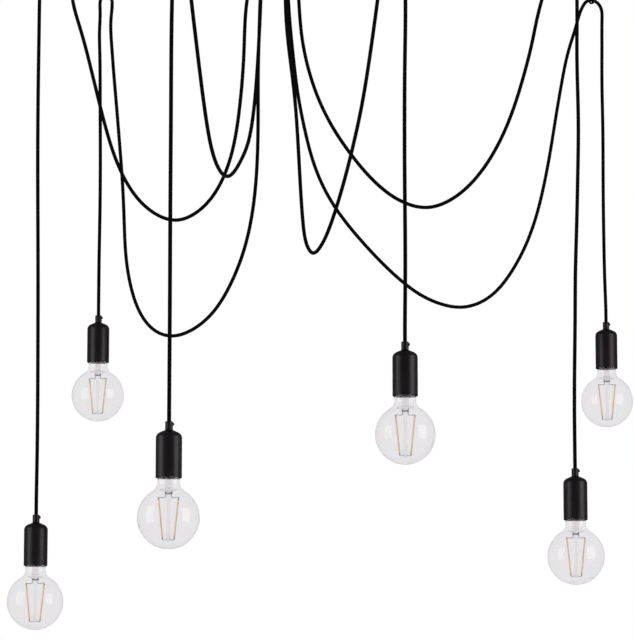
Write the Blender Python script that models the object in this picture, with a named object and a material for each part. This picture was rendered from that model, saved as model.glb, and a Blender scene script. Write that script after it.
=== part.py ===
"""Cluster pendant light with six bare globe bulbs, in metres, +Z up.

Six fabric cords leave one small round ceiling canopy. Each cord sags in a swag, goes over its own ceiling
hook and drops straight to a black metal lampholder with a clear globe bulb. The origin is the centre of the
canopy's mounting face on the ceiling, and everything hangs below it.
"""

import math

import bmesh
import bpy
import numpy as np
from mathutils import Matrix

# Fits shared by all pieces
GAP = 0.0003                     # between two pieces that rest on each other
ROUND_CLEARANCE = 0.0008         # between a round piece and the bore around it
OVERRUN = 0.002                  # how far a cutter runs past the skin that it cuts
MERGE_DISTANCE = 0.000001

# Cord
CORD_DIAMETER = 0.0064
CORD_RADIUS = CORD_DIAMETER / 2
CORD_CLEARANCE = 0.0006          # between the cord and the bores that it runs through
CORD_BORE_RADIUS = CORD_RADIUS + CORD_CLEARANCE
CORD_ENTRY = 0.009               # length of cord inside a collar or a cord grip
CORD_STRAIGHT = 3 * CORD_DIAMETER
SWAG_STEP = 4 * CORD_DIAMETER    # between two points of a swag's tube
DROP_STEP = 6 * CORD_DIAMETER    # between two points of a straight drop's tube
ARCH_STEPS = 5                   # points of a tube from its hook's side to the top of the arch
ARCH_FLAT = 0.0015               # level stretch at the top, on each side of the cut
ARCH_RADIUS = 0.023              # usual bend of a cord over its hook

# Cluster
CLUSTER_REACH = 0.723            # farthest lamp from the canopy's axis, in plan
LONGEST_DROP = 1.032             # ceiling to the top of the lowest lampholder

# Ceiling hook
HOOK_PLATE_RADIUS = 0.015
HOOK_PLATE_THICKNESS = 0.003
HOOK_ROD_RADIUS = 0.002
HOOK_RING_RADIUS = 0.011         # to the middle of the rod
HOOK_NECK = 0.003                # straight rod below the plate
HOOK_SEAT_GAP = 0.0004           # between the cord and the rod that it lies on
SADDLE_DROP = 0.0255             # ceiling to the middle of the cord on its hook
HOOK_MOUTH_ANGLE = 110           # degrees of the ring left open beside the neck
HOOK_POINTS = 14
HOOK_PLATE_SEGMENTS = 12

# Cord grip
GRIP_RADIUS = 0.0060
GRIP_HEIGHT = 0.0135
GRIP_EDGE = 0.0007
NIPPLE_RADIUS = 0.005
NIPPLE_LENGTH = 0.012            # below the grip's seat on the cup
SET_SCREW_RADIUS = 0.0021
SET_SCREW_PROUD = 0.0016         # out of the grip's side
SET_SCREW_DEPTH = 0.0042         # below the grip's top

# Lampholder cup
CUP_RADIUS = 0.0201
CUP_HEIGHT = 0.073
CUP_WALL = 0.001
CUP_SHOULDER = 0.0095            # radius of the rounded shoulder
CUP_SLOPE = 25                   # degrees that the top falls away from the grip's seat
CUP_SEAT_RIM = 0.0008            # flat seat beyond the grip's side

# Socket body inside the cup
SOCKET_RADIUS = 0.018
SOCKET_TOP_EDGE = 0.013          # radius where the socket's sloped top turns down
SOCKET_RECESS = 0.007            # rim of the cup to the socket's mouth
THREAD_CLEARANCE = 0.0013        # between the bulb's thread and the socket's shell

# Bulb cap, with the common 27 mm thread
CAP_RADIUS = 0.0131
CAP_THREAD_DEPTH = 0.0007
CAP_WALL = 0.0007
CAP_PITCH = 0.00363
CAP_TURNS = 3
CAP_LIP = 0.005                  # rim of the cup to the cap's lower edge
CAP_TOP = 0.032                  # rim of the cup to the cap's end contact
CAP_CONTACT_RADIUS = 0.0048
CAP_CONTACT_HEIGHT = 0.0015
CAP_CONE_HEIGHT = 0.0045
CAP_INNER_TOP = 0.024            # rim of the cup to the roof of the cap's hollow

# Glass globe
BULB_RADIUS = 0.0475
BULB_DEPTH = 0.1086              # rim of the cup to the bottom of the bulb
BULB_NECK_RADIUS = 0.0174
BULB_NECK_DEPTH = 0.008          # rim of the cup to where the neck starts to swell
BULB_STUB_CLEARANCE = 0.0007     # round the glass inside the cap, and round the stem's foot in the glass
BULB_STUB_RADIUS = CAP_RADIUS - CAP_THREAD_DEPTH - CAP_WALL - BULB_STUB_CLEARANCE
BULB_STUB_TOP = 0.021            # rim of the cup to the top of the glass
BULB_NECK_SHOULDER = 0.0045      # from the cap's edge down to the full neck
GLASS_WALL = 0.001

# Filament mount
STEM_FOOT_RADIUS = BULB_STUB_RADIUS - GLASS_WALL - BULB_STUB_CLEARANCE
STEM_FOOT_TOP = 0.019
STEM_RADIUS = 0.0055
STEM_WAIST = 0.008               # rim of the cup to the top of the straight stem
STEM_DEPTH = 0.0290              # rim of the cup down to the pinch
PINCH_LENGTH = 0.0018
STEM_ROD_RADIUS = 0.0027
STEM_ROD_DEPTH = 0.0968
FILAMENT_RADIUS = 0.0014
WIRE_RADIUS = 0.0005
FILAMENT_TOP_DEPTH = 0.0300
FILAMENT_BOTTOM_DEPTH = 0.0938
FILAMENT_TOP_SPREAD = 0.0152     # from the lamp's axis
FILAMENT_BOTTOM_SPREAD = 0.0088
WIRE_BEND = 0.0015               # from a filament's end to the bend in its wire

# Canopy
CANOPY_RADIUS = 0.060
CANOPY_HEIGHT = 0.030
CANOPY_WALL = 0.0012
CANOPY_FILLET = 0.004
CANOPY_CEILING_GAP = 0.0005
ANCHOR_INSET = 0.0088            # between the anchor plate and the cover's inner skin
ANCHOR_RADIUS = CANOPY_RADIUS - CANOPY_WALL - ANCHOR_INSET
ANCHOR_THICKNESS = 0.003
OUTLET_INSET = 0.012             # from the anchor plate's edge to a cord's axis
OUTLET_CIRCLE_RADIUS = ANCHOR_RADIUS - OUTLET_INSET
COLLAR_RADIUS = 0.0056
COLLAR_DROP = 0.008              # below the canopy's face
COLLAR_RISE = 0.004              # above the anchor plate

# Ceiling bracket, terminal block and cover screws
BRACKET_THICKNESS = 0.002
BRACKET_WIDTH = 0.018
BRACKET_CLEARANCE = 0.0016       # between an ear and the cover's inner skin
BRACKET_LENGTH = 2 * (CANOPY_RADIUS - CANOPY_WALL - BRACKET_CLEARANCE)
BRACKET_EAR = 0.018
SLOT_LENGTH = 0.018
SLOT_WIDTH = 0.0045
SLOT_CENTRE = 0.033
BLOCK_LENGTH = 0.034
BLOCK_WIDTH = 0.016
BLOCK_HEIGHT = 0.011
BLOCK_WELL_RADIUS = 0.0022
BLOCK_WELL_DEPTH = 0.004
BLOCK_WELL_PITCH = 0.010
COVER_SCREW_RADIUS = 0.0018
COVER_SCREW_DROP = 0.012         # ceiling to the screw's axis
COVER_SCREW_LENGTH = 0.007       # from the canopy's skin inwards
COVER_SCREW_HEAD_RADIUS = 0.0042
COVER_SCREW_HEAD_HEIGHT = 0.0035
COVER_SCREW_EDGE = 0.0006

# Facets
CUP_SEGMENTS = 14
GLOBE_SEGMENTS = 12
INNER_SEGMENTS = 10
STEM_SEGMENTS = 8
CANOPY_SEGMENTS = 24
ANCHOR_SEGMENTS = 20
HOLE_SEGMENTS = 8
FILLET_STEPS = 3
GLOBE_STEPS = 7
SPLINE_STEPS = 40                # points of a smooth line for each stretch of its route

# Heights in a lamp, from the top of its cord grip
CUP_TOP_Z = -GRIP_HEIGHT
RIM_Z = CUP_TOP_Z - CUP_HEIGHT

# The six pendants. Bearings are degrees from +X, in plan. A swag's points are (distance out from the canopy's
# outlet, height) and a drop's are (distance past the lamp's axis, height), both in metres in the upright plane
# through the outlet and the lamp.
PENDANTS = (
    {
        "number": 1, "outlet_bearing": 180, "bearing": 182.4, "reach_share": 0.558,
        "drop_share": 1.0, "arch_share": 1.0,
        "swag": ((0.010, -0.128), (0.015, -0.215), (0.023, -0.325), (0.036, -0.402), (0.060, -0.464),
                 (0.092, -0.503), (0.131, -0.520), (0.172, -0.506), (0.208, -0.469), (0.236, -0.414),
                 (0.257, -0.347), (0.279, -0.260), (0.300, -0.182), (0.315, -0.120)),
        "drop": ((0.0045, -0.065), (0.005, -0.11), (0.0056, -0.17), (0.0058, -0.28), (0.005, -0.42),
                 (0.003, -0.55), (0.0015, -0.66), (0.0003, -0.78), (-0.0004, -0.92)),
    },
    {
        "number": 2, "outlet_bearing": 120, "bearing": 134.8, "reach_share": 0.640,
        "drop_share": 0.611, "arch_share": 0.67,
        "swag": ((0.006, -0.090), (0.011, -0.150), (0.014, -0.240), (0.014, -0.330), (0.017, -0.420),
                 (0.027, -0.492), (0.047, -0.556), (0.079, -0.612), (0.124, -0.659), (0.178, -0.685),
                 (0.232, -0.690), (0.280, -0.672), (0.317, -0.634), (0.340, -0.585), (0.353, -0.530),
                 (0.359, -0.460), (0.365, -0.385), (0.374, -0.310), (0.383, -0.240), (0.391, -0.180),
                 (0.3975, -0.125), (0.3995, -0.075)),
        "drop": ((0.004, -0.055), (0.005, -0.093), (0.0036, -0.138), (0.0015, -0.217), (-0.0003, -0.307),
                 (-0.0013, -0.398), (-0.0008, -0.47), (0.0, -0.54)),
    },
    {
        "number": 3, "outlet_bearing": 240, "bearing": 254.8, "reach_share": 0.799,
        "drop_share": 0.9144, "arch_share": 1.0,
        "swag": ((0.010, -0.100), (0.019, -0.155), (0.030, -0.225), (0.045, -0.295), (0.067, -0.362),
                 (0.097, -0.412), (0.134, -0.446), (0.175, -0.475), (0.210, -0.492), (0.246, -0.498),
                 (0.282, -0.491), (0.315, -0.471), (0.341, -0.440), (0.365, -0.400), (0.393, -0.345),
                 (0.421, -0.287), (0.446, -0.230), (0.468, -0.168), (0.487, -0.105)),
        "drop": ((0.0, -0.12), (0.0, -0.30), (0.001, -0.45), (0.001, -0.60), (0.0, -0.75)),
    },
    {
        "number": 4, "outlet_bearing": 300, "bearing": 297.4, "reach_share": 0.640,
        "drop_share": 0.7726, "arch_share": 1.0,
        "swag": ((0.0, -0.120), (0.004, -0.175), (0.014, -0.226), (0.027, -0.277), (0.038, -0.325),
                 (0.046, -0.374), (0.053, -0.430), (0.060, -0.488), (0.069, -0.545), (0.083, -0.583),
                 (0.107, -0.601), (0.134, -0.594), (0.161, -0.573), (0.184, -0.547), (0.216, -0.503),
                 (0.251, -0.445), (0.281, -0.385), (0.307, -0.316), (0.328, -0.250), (0.346, -0.190),
                 (0.363, -0.135), (0.377, -0.088)),
        "drop": ((0.007, -0.12), (0.006, -0.24), (0.0035, -0.34), (0.0015, -0.43), (0.0012, -0.53),
                 (0.002, -0.64), (0.001, -0.73)),
    },
    {
        "number": 5, "outlet_bearing": 0, "bearing": 349.2, "reach_share": 0.713,
        "drop_share": 0.9321, "arch_share": 1.0,
        "swag": ((0.002, -0.090), (0.005, -0.140), (0.010, -0.195), (0.021, -0.250), (0.039, -0.305),
                 (0.064, -0.357), (0.098, -0.409), (0.140, -0.459), (0.186, -0.494), (0.231, -0.506),
                 (0.276, -0.491), (0.317, -0.455), (0.352, -0.403), (0.378, -0.345), (0.396, -0.290),
                 (0.412, -0.230), (0.426, -0.168), (0.439, -0.108)),
        "drop": ((0.012, -0.065), (0.0125, -0.14), (0.0115, -0.25), (0.0125, -0.37), (0.0105, -0.46),
                 (0.0075, -0.55), (0.0045, -0.63), (0.003, -0.71), (0.001, -0.80), (0.0, -0.88)),
    },
    {
        "number": 6, "outlet_bearing": 60, "bearing": 32.0, "reach_share": 0.9916,
        "drop_share": 0.6146, "arch_share": 0.96,
        "swag": ((0.003, -0.090), (0.007, -0.140), (0.015, -0.215), (0.026, -0.290), (0.038, -0.343),
                 (0.055, -0.399), (0.080, -0.450), (0.113, -0.493), (0.153, -0.532), (0.200, -0.571),
                 (0.240, -0.599), (0.280, -0.620), (0.322, -0.632), (0.363, -0.634), (0.400, -0.624),
                 (0.434, -0.603), (0.473, -0.560), (0.505, -0.508), (0.530, -0.449), (0.548, -0.388),
                 (0.563, -0.323), (0.576, -0.258), (0.590, -0.192), (0.606, -0.130), (0.624, -0.080)),
        "drop": ((0.0, -0.06), (-0.001, -0.11), (-0.002, -0.17), (-0.0015, -0.26), (-0.0025, -0.39),
                 (-0.0025, -0.48), (-0.0012, -0.57)),
    },
)


# Materials

def make_material(name, colour, roughness, metallic=0.0, transmission=0.0):
    """One Principled material; the same colour shows in a plain viewport."""
    material = bpy.data.materials.new(name)
    material.use_nodes = True
    shader = material.node_tree.nodes["Principled BSDF"]
    shader.inputs["Base Color"].default_value = (*colour, 1.0)
    shader.inputs["Roughness"].default_value = roughness
    shader.inputs["Metallic"].default_value = metallic
    shader.inputs["Transmission Weight"].default_value = transmission
    material.diffuse_color = (*colour, 1.0)
    return material


def make_materials():
    """All the finishes of the light, by plain names."""
    return {
        "cord": make_material("black_textile", (0.012, 0.012, 0.013), 0.85),
        "metal": make_material("black_satin_paint", (0.018, 0.017, 0.019), 0.42),
        "plastic": make_material("black_plastic", (0.02, 0.02, 0.02), 0.5),
        "socket": make_material("brown_black_thermoset", (0.025, 0.022, 0.02), 0.45),
        "steel": make_material("zinc_steel", (0.62, 0.62, 0.60), 0.35, metallic=1.0),
        "nickel": make_material("nickel_cap", (0.72, 0.70, 0.66), 0.28, metallic=1.0),
        "glass": make_material("clear_glass", (0.95, 0.95, 0.97), 0.03, transmission=1.0),
        "filament": make_material("filament_mount", (0.80, 0.62, 0.38), 0.5),
        "block": make_material("white_nylon", (0.85, 0.84, 0.80), 0.5),
    }


# Shape helpers

def add_object(name, mesh, material, location=(0.0, 0.0, 0.0), turn=0.0):
    """Link a mesh to the scene under a node name, at a place and turned about Z."""
    if not mesh.materials:
        mesh.materials.append(material)
    item = bpy.data.objects.new(name, mesh)
    item.location = location
    item.rotation_euler = (0.0, 0.0, turn)
    bpy.context.scene.collection.objects.link(item)
    return item


def make_pivot(name, place):
    """An empty on a joint's axis, for the pieces that move about it."""
    pivot = bpy.data.objects.new(name, None)
    pivot.location = place
    bpy.context.scene.collection.objects.link(pivot)
    return pivot


def hang(item, pivot):
    """Parent a piece to a pivot and keep its place in the world."""
    item.parent = pivot
    item.location -= pivot.location


def turned_mesh(name, outline, segments, closed):
    """Spin an outline of (radius, height) points about Z.

    A closed outline makes a ring-shaped body; an open one starts and ends on the axis.
    """
    shape = bmesh.new()
    points = [shape.verts.new((radius, 0.0, height)) for radius, height in outline]
    edges = [shape.edges.new(pair) for pair in zip(points, points[1:])]
    if closed:
        edges.append(shape.edges.new((points[-1], points[0])))
    bmesh.ops.spin(shape, geom=points + edges, cent=(0.0, 0.0, 0.0), axis=(0.0, 0.0, 1.0),
                   angle=math.tau, steps=segments, use_merge=True)
    bmesh.ops.remove_doubles(shape, verts=shape.verts, dist=MERGE_DISTANCE)
    bmesh.ops.recalc_face_normals(shape, faces=shape.faces)
    return finish_mesh(name, shape)


def finish_mesh(name, shape):
    """Write a bmesh to a mesh, smooth but for its crisp edges."""
    mesh = bpy.data.meshes.new(name)
    shape.to_mesh(mesh)
    shape.free()
    mesh.shade_smooth()
    mesh.set_sharp_from_angle(angle=math.radians(35))
    return mesh


def cylinders_mesh(name, radius, low, high, places):
    """Upright cylinders from one height to another at several places, in one mesh."""
    shape = bmesh.new()
    for x, y in places:
        middle = Matrix.Translation((x, y, (low + high) / 2))
        bmesh.ops.create_cone(shape, cap_ends=True, segments=HOLE_SEGMENTS, radius1=radius, radius2=radius,
                              depth=high - low, matrix=middle)
    return finish_mesh(name, shape)


def box_mesh(name, low, high):
    """A box from its lowest to its highest corner."""
    shape = bmesh.new()
    size = [top - bottom for bottom, top in zip(low, high)]
    middle = [(top + bottom) / 2 for bottom, top in zip(low, high)]
    bmesh.ops.create_cube(shape, size=1.0, matrix=Matrix.Translation(middle) @ Matrix.Diagonal((*size, 1.0)))
    return finish_mesh(name, shape)


def make_helper(mesh):
    """An object that only cuts or joins, left out of the finished light."""
    helper = bpy.data.objects.new(mesh.name + "_helper", mesh)
    helper.hide_render = True
    helper.display_type = "WIRE"
    bpy.context.scene.collection.objects.link(helper)
    return helper


def combined_mesh(name, base, steps):
    """Join or cut a mesh with others, and return the result as one new mesh."""
    body = make_helper(base)
    helpers = [body]
    for operation, mesh in steps:
        helper = make_helper(mesh)
        modifier = body.modifiers.new(operation.title(), "BOOLEAN")
        modifier.operation = operation
        modifier.solver = "EXACT"
        modifier.object = helper
        helpers.append(helper)
    graph = bpy.context.evaluated_depsgraph_get()
    graph.update()
    result = bpy.data.meshes.new_from_object(body.evaluated_get(graph))
    result.name = name
    result.materials.clear()
    for helper in helpers:
        bpy.data.objects.remove(helper)
    return result


def tube_curve(name, points, radius, resolution, radius_shares=None):
    """A round tube with filled ends along a list of points."""
    curve = bpy.data.curves.new(name, "CURVE")
    curve.dimensions = "3D"
    curve.bevel_depth = radius
    curve.bevel_resolution = resolution
    curve.use_fill_caps = True
    line = curve.splines.new("POLY")
    line.points.add(len(points) - 1)
    for place, point in zip(line.points, points):
        place.co = (*point, 1.0)
    if radius_shares:
        for place, share in zip(line.points, radius_shares):
            place.radius = share
    return curve


def tube_mesh(name, points, radius, resolution, radius_shares=None):
    """The same tube as a mesh, to join with another shape."""
    curve = tube_curve(name + "_path", points, radius, resolution, radius_shares)
    item = make_helper(curve)
    graph = bpy.context.evaluated_depsgraph_get()
    graph.update()
    mesh = bpy.data.meshes.new_from_object(item.evaluated_get(graph))
    mesh.name = name
    bpy.data.objects.remove(item)
    return mesh


def smooth_line(route):
    """A natural cubic spline through a route's points, as SPLINE_STEPS points for each stretch.

    The spline runs over the distance along the route's straight stretches, so its bend changes evenly.
    """
    points = np.array(route, dtype=float)
    steps = np.linalg.norm(np.diff(points, axis=0), axis=1)
    stations = np.concatenate(([0.0], np.cumsum(steps)))
    count = len(points)
    matrix = np.eye(count)
    sides = np.zeros_like(points)
    slopes = np.diff(points, axis=0) / steps[:, None]
    for row in range(1, count - 1):
        matrix[row, row - 1] = steps[row - 1]
        matrix[row, row] = 2 * (steps[row - 1] + steps[row])
        matrix[row, row + 1] = steps[row]
        sides[row] = 6 * (slopes[row] - slopes[row - 1])
    bends = np.linalg.solve(matrix, sides)
    line = []
    for row in range(count - 1):
        length = steps[row]
        along = np.arange(SPLINE_STEPS)[:, None] * length / SPLINE_STEPS
        left = length - along
        line.append(bends[row] * left ** 3 / (6 * length) + bends[row + 1] * along ** 3 / (6 * length)
                    + (points[row] / length - bends[row] * length / 6) * left
                    + (points[row + 1] / length - bends[row + 1] * length / 6) * along)
    line.append(points[-1:])
    return np.concatenate(line)


def line_lengths(line):
    """Distance along a line at each of its points."""
    return np.concatenate(([0.0], np.cumsum(np.linalg.norm(np.diff(line, axis=0), axis=1))))


def even_points(line, start, end, count):
    """Evenly spaced points on a line between two distances along it, ends included."""
    lengths = line_lengths(line)
    wanted = np.linspace(start, end, count + 1)
    return np.stack([np.interp(wanted, lengths, line[:, axis]) for axis in range(line.shape[1])], axis=1)


def arc_points(centre, radius, first, last, steps):
    """Points on an arc in a turned outline, from one angle in degrees to another."""
    angles = [math.radians(first + (last - first) * step / steps) for step in range(steps + 1)]
    return [(centre[0] + radius * math.cos(angle), centre[1] + radius * math.sin(angle)) for angle in angles]


# Layout of the cluster

def in_plan(distance, bearing):
    """A place in plan, from its distance to the canopy's axis and its bearing."""
    angle = math.radians(bearing)
    return np.array((distance * math.cos(angle), distance * math.sin(angle)))


def place_pendant(pendant):
    """Places of one pendant: its outlet, lamp and hook in plan, and its heights."""
    outlet = in_plan(OUTLET_CIRCLE_RADIUS, pendant["outlet_bearing"])
    lamp = in_plan(CLUSTER_REACH * pendant["reach_share"], pendant["bearing"])
    span = float(np.linalg.norm(lamp - outlet))
    out = (lamp - outlet) / span
    arch = ARCH_RADIUS * pendant["arch_share"]
    hook_distance = span + pendant["drop"][0][0] - arch
    return {
        "outlet": outlet, "lamp": lamp, "span": span, "out": out, "arch": arch,
        "hook_distance": hook_distance, "hook": outlet + out * hook_distance,
        "heading": math.atan2(out[1], out[0]), "top": -LONGEST_DROP * pendant["drop_share"],
    }


# Cords

def cord_route(pendant, place):
    """Route points of one cord, and how many of them lead to the top of the arch over its hook."""
    mouth = -CANOPY_HEIGHT - COLLAR_DROP
    hook = place["hook_distance"]
    arch = place["arch"]
    span = place["span"]
    bend = [(arch * math.cos(math.radians(angle)), -SADDLE_DROP - arch + arch * math.sin(math.radians(angle)))
            for angle in (30, 60)]
    swag = [(0.0, mouth + CORD_ENTRY), (0.0, mouth), (0.0, mouth - CORD_STRAIGHT)]
    swag += list(pendant["swag"])
    swag += [(hook - side, height) for side, height in bend] + [(hook, -SADDLE_DROP)]
    drop = [(hook + side, height) for side, height in reversed(bend)]
    drop += [(span + past, height) for past, height in pendant["drop"]]
    drop += [(span, place["top"] + CORD_STRAIGHT), (span, place["top"]), (span, place["top"] - CORD_ENTRY)]
    return swag + drop, len(swag)


def cord_points(pendant, place):
    """Points of the swag's tube and of the drop's tube, which meet level at the top of the arch."""
    route, swag_count = cord_route(pendant, place)
    line = smooth_line(route)
    lengths = line_lengths(line)
    top = lengths[(swag_count - 1) * SPLINE_STEPS]
    quarter_turn = place["arch"] * math.pi / 2
    rise = top - quarter_turn
    fall = top + quarter_turn
    end = lengths[-1]
    swag = [*even_points(line, 0.0, rise, round(rise / SWAG_STEP)),
            *even_points(line, rise, top, ARCH_STEPS)[1:-1]]
    drop = [*even_points(line, top, fall, ARCH_STEPS)[1:-1],
            *even_points(line, fall, end, round((end - fall) / DROP_STEP))]
    hook = place["hook_distance"]
    swag += [(hook - ARCH_FLAT, -SADDLE_DROP), (hook - GAP / 2, -SADDLE_DROP)]
    drop = [(hook + GAP / 2, -SADDLE_DROP), (hook + ARCH_FLAT, -SADDLE_DROP), *drop]
    return [[(*(place["outlet"] + place["out"] * out), height) for out, height in points]
            for points in (swag, drop)]


def make_cords(pendant, place, materials):
    """The two tubes of one cord: its swag on the ceiling's side, and its drop with the lamp."""
    items = []
    for kind, points in zip(("swag", "drop"), cord_points(pendant, place)):
        name = f"{kind}_cord_{pendant['number']}"
        curve = tube_curve(name, points, CORD_RADIUS, resolution=2)
        items.append(add_object(name, curve, materials["cord"]))
    return items


# Ceiling hook

def hook_mesh():
    """A round base plate with a bent rod: a short neck that turns into an open ring below it."""
    plate = turned_mesh("hook_plate", [
        (0.0, 0.0),
        (HOOK_PLATE_RADIUS, 0.0),
        (HOOK_PLATE_RADIUS, -HOOK_PLATE_THICKNESS / 2),
        (HOOK_PLATE_RADIUS - HOOK_PLATE_THICKNESS / 2, -HOOK_PLATE_THICKNESS),
        (0.0, -HOOK_PLATE_THICKNESS),
    ], HOOK_PLATE_SEGMENTS, closed=False)
    bottom = -SADDLE_DROP - CORD_RADIUS - HOOK_SEAT_GAP - HOOK_ROD_RADIUS
    centre = bottom + HOOK_RING_RADIUS
    last = 90 + HOOK_MOUTH_ANGLE / 2 - 360
    angles = [45, 0, -45, -90, -135, -180, last]
    route = [(0.0, -HOOK_PLATE_THICKNESS / 2), (0.0, -HOOK_PLATE_THICKNESS - HOOK_NECK)]
    route += [(HOOK_RING_RADIUS * math.cos(math.radians(angle)),
               centre + HOOK_RING_RADIUS * math.sin(math.radians(angle))) for angle in angles]
    line = smooth_line(route)
    end = line_lengths(line)[-1]
    rod_points = [(0.0, side, height) for side, height in even_points(line, 0.0, end, HOOK_POINTS)]
    rod = tube_mesh("hook_rod", rod_points, HOOK_ROD_RADIUS, resolution=1)
    return combined_mesh("ceiling_hook", plate, [("UNION", rod)])


# Lamp pieces, each with its heights counted from the top of the cord grip

def grip_mesh():
    """The cord grip: a bored sleeve above the cup, a threaded nipple below, and a side set screw."""
    seat = CUP_TOP_Z + GAP
    sleeve = turned_mesh("grip_sleeve", [
        (CORD_BORE_RADIUS, 0.0),
        (GRIP_RADIUS - GRIP_EDGE, 0.0),
        (GRIP_RADIUS, -GRIP_EDGE),
        (GRIP_RADIUS, seat),
        (NIPPLE_RADIUS, seat),
        (NIPPLE_RADIUS, seat - NIPPLE_LENGTH),
        (CORD_BORE_RADIUS, seat - NIPPLE_LENGTH),
    ], INNER_SEGMENTS, closed=True)
    start = (CORD_BORE_RADIUS + GRIP_RADIUS) / 2
    end = GRIP_RADIUS + SET_SCREW_PROUD
    screw = cylinders_mesh("grip_screw", SET_SCREW_RADIUS, start, end, [(SET_SCREW_DEPTH, 0.0)])
    screw.transform(Matrix.Rotation(math.radians(90), 4, "Y"))
    return combined_mesh("cord_grip", sleeve, [("UNION", screw)])


def seat_corner(inset):
    """Where the cup's flat seat meets its sloped top, for a skin set in by a distance."""
    corner = GRIP_RADIUS + CUP_SEAT_RIM - inset * math.tan(math.radians(CUP_SLOPE / 2))
    return (corner, CUP_TOP_Z - inset)


def cup_shoulder():
    """The centre of the cup's rounded shoulder, which touches the sloped top and the straight side."""
    slope = math.radians(CUP_SLOPE)
    centre = CUP_RADIUS - CUP_SHOULDER
    seat, height = seat_corner(0.0)
    fall = (centre + CUP_SHOULDER * math.sin(slope) - seat) * math.tan(slope) + CUP_SHOULDER * math.cos(slope)
    return (centre, height - fall)


def cup_mesh():
    """The lampholder's cup: a thin drawn shell with a sloped top, a round shoulder and a hole for the nipple."""
    hole = NIPPLE_RADIUS + ROUND_CLEARANCE
    shoulder = cup_shoulder()
    outside = arc_points(shoulder, CUP_SHOULDER, 90 - CUP_SLOPE, 0, FILLET_STEPS)
    inside = arc_points(shoulder, CUP_SHOULDER - CUP_WALL, 0, 90 - CUP_SLOPE, FILLET_STEPS - 1)
    outline = [(hole, CUP_TOP_Z), seat_corner(0.0), *outside, (CUP_RADIUS, RIM_Z), (CUP_RADIUS - CUP_WALL, RIM_Z),
               *inside, seat_corner(CUP_WALL), (hole, CUP_TOP_Z - CUP_WALL)]
    return turned_mesh("cup", outline, CUP_SEGMENTS, closed=True)


def socket_mesh():
    """The socket body: a thermoset plug that fills the cup, with a bore for the nipple and one for the bulb."""
    seat, top = seat_corner(CUP_WALL + GAP)
    fall = (SOCKET_TOP_EDGE - seat) * math.tan(math.radians(CUP_SLOPE))
    nipple_end = CUP_TOP_Z + GAP - NIPPLE_LENGTH - ROUND_CLEARANCE
    bore = CAP_RADIUS + THREAD_CLEARANCE
    floor = RIM_Z + CAP_TOP + GAP
    mouth = RIM_Z + SOCKET_RECESS
    hole = NIPPLE_RADIUS + ROUND_CLEARANCE
    outline = [(0.0, nipple_end), (hole, nipple_end), (hole, top), (seat, top), (SOCKET_TOP_EDGE, top - fall),
               (SOCKET_RADIUS, cup_shoulder()[1]), (SOCKET_RADIUS, mouth), (bore, mouth), (bore, floor),
               (0.0, floor)]
    return turned_mesh("socket", outline, INNER_SEGMENTS, closed=False)


def cap_mesh():
    """The bulb's screw cap: end contact, insulating cone, waved thread shell and the hollow for the glass."""
    top = RIM_Z + CAP_TOP
    cone = top - CAP_CONTACT_HEIGHT
    shell = cone - CAP_CONE_HEIGHT
    root = CAP_RADIUS - CAP_THREAD_DEPTH
    lip = RIM_Z + CAP_LIP
    bore = root - CAP_WALL
    outline = [(0.0, top), (CAP_CONTACT_RADIUS, top), (CAP_CONTACT_RADIUS, cone), (root, shell)]
    for turn in range(CAP_TURNS):
        crest = shell - CAP_PITCH * (turn + 0.5)
        outline += [(CAP_RADIUS, crest), (root, crest - CAP_PITCH / 2)]
    outline += [(root, lip), (bore, lip), (bore, RIM_Z + CAP_INNER_TOP), (0.0, RIM_Z + CAP_INNER_TOP)]
    return turned_mesh("bulb_cap", outline, INNER_SEGMENTS, closed=False)


def globe_outline(inset):
    """Half outline of the bulb from the cap down, set in by a distance: neck, swelling fillet and globe."""
    radius = BULB_RADIUS - inset
    neck = BULB_NECK_RADIUS - inset
    middle = RIM_Z - BULB_DEPTH + BULB_RADIUS
    fillet_z = RIM_Z - BULB_NECK_DEPTH
    rise = fillet_z - middle
    # The fillet touches the neck at fillet_z and the globe from outside
    fillet = (radius ** 2 - neck ** 2 - rise ** 2) / (2 * (neck - radius))
    centre = (neck + fillet, fillet_z)
    touch = math.degrees(math.atan2(rise, centre[0]))
    swell = arc_points(centre, fillet, 180, 180 + touch, 2)
    globe = arc_points((0.0, middle), radius, touch, -90, GLOBE_STEPS)
    return swell + globe[1:-1] + [(0.0, middle - radius)]


def glass_mesh():
    """The blown bulb: one thin wall from the stub inside the cap to the bottom of the globe."""
    lip = RIM_Z + CAP_LIP - GAP
    stub_inner = BULB_STUB_RADIUS - GLASS_WALL
    neck_top = lip - BULB_NECK_SHOULDER
    outside = [(BULB_STUB_RADIUS, RIM_Z + BULB_STUB_TOP), (BULB_STUB_RADIUS, lip),
               (BULB_NECK_RADIUS, neck_top)]
    outside += globe_outline(0.0)
    inside = [(stub_inner, RIM_Z + BULB_STUB_TOP), (stub_inner, lip - GLASS_WALL),
              (BULB_NECK_RADIUS - GLASS_WALL, neck_top - GLASS_WALL)]
    inside += globe_outline(GLASS_WALL)
    return turned_mesh("bulb_glass", inside[::-1] + outside, GLOBE_SEGMENTS, closed=False)


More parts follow.
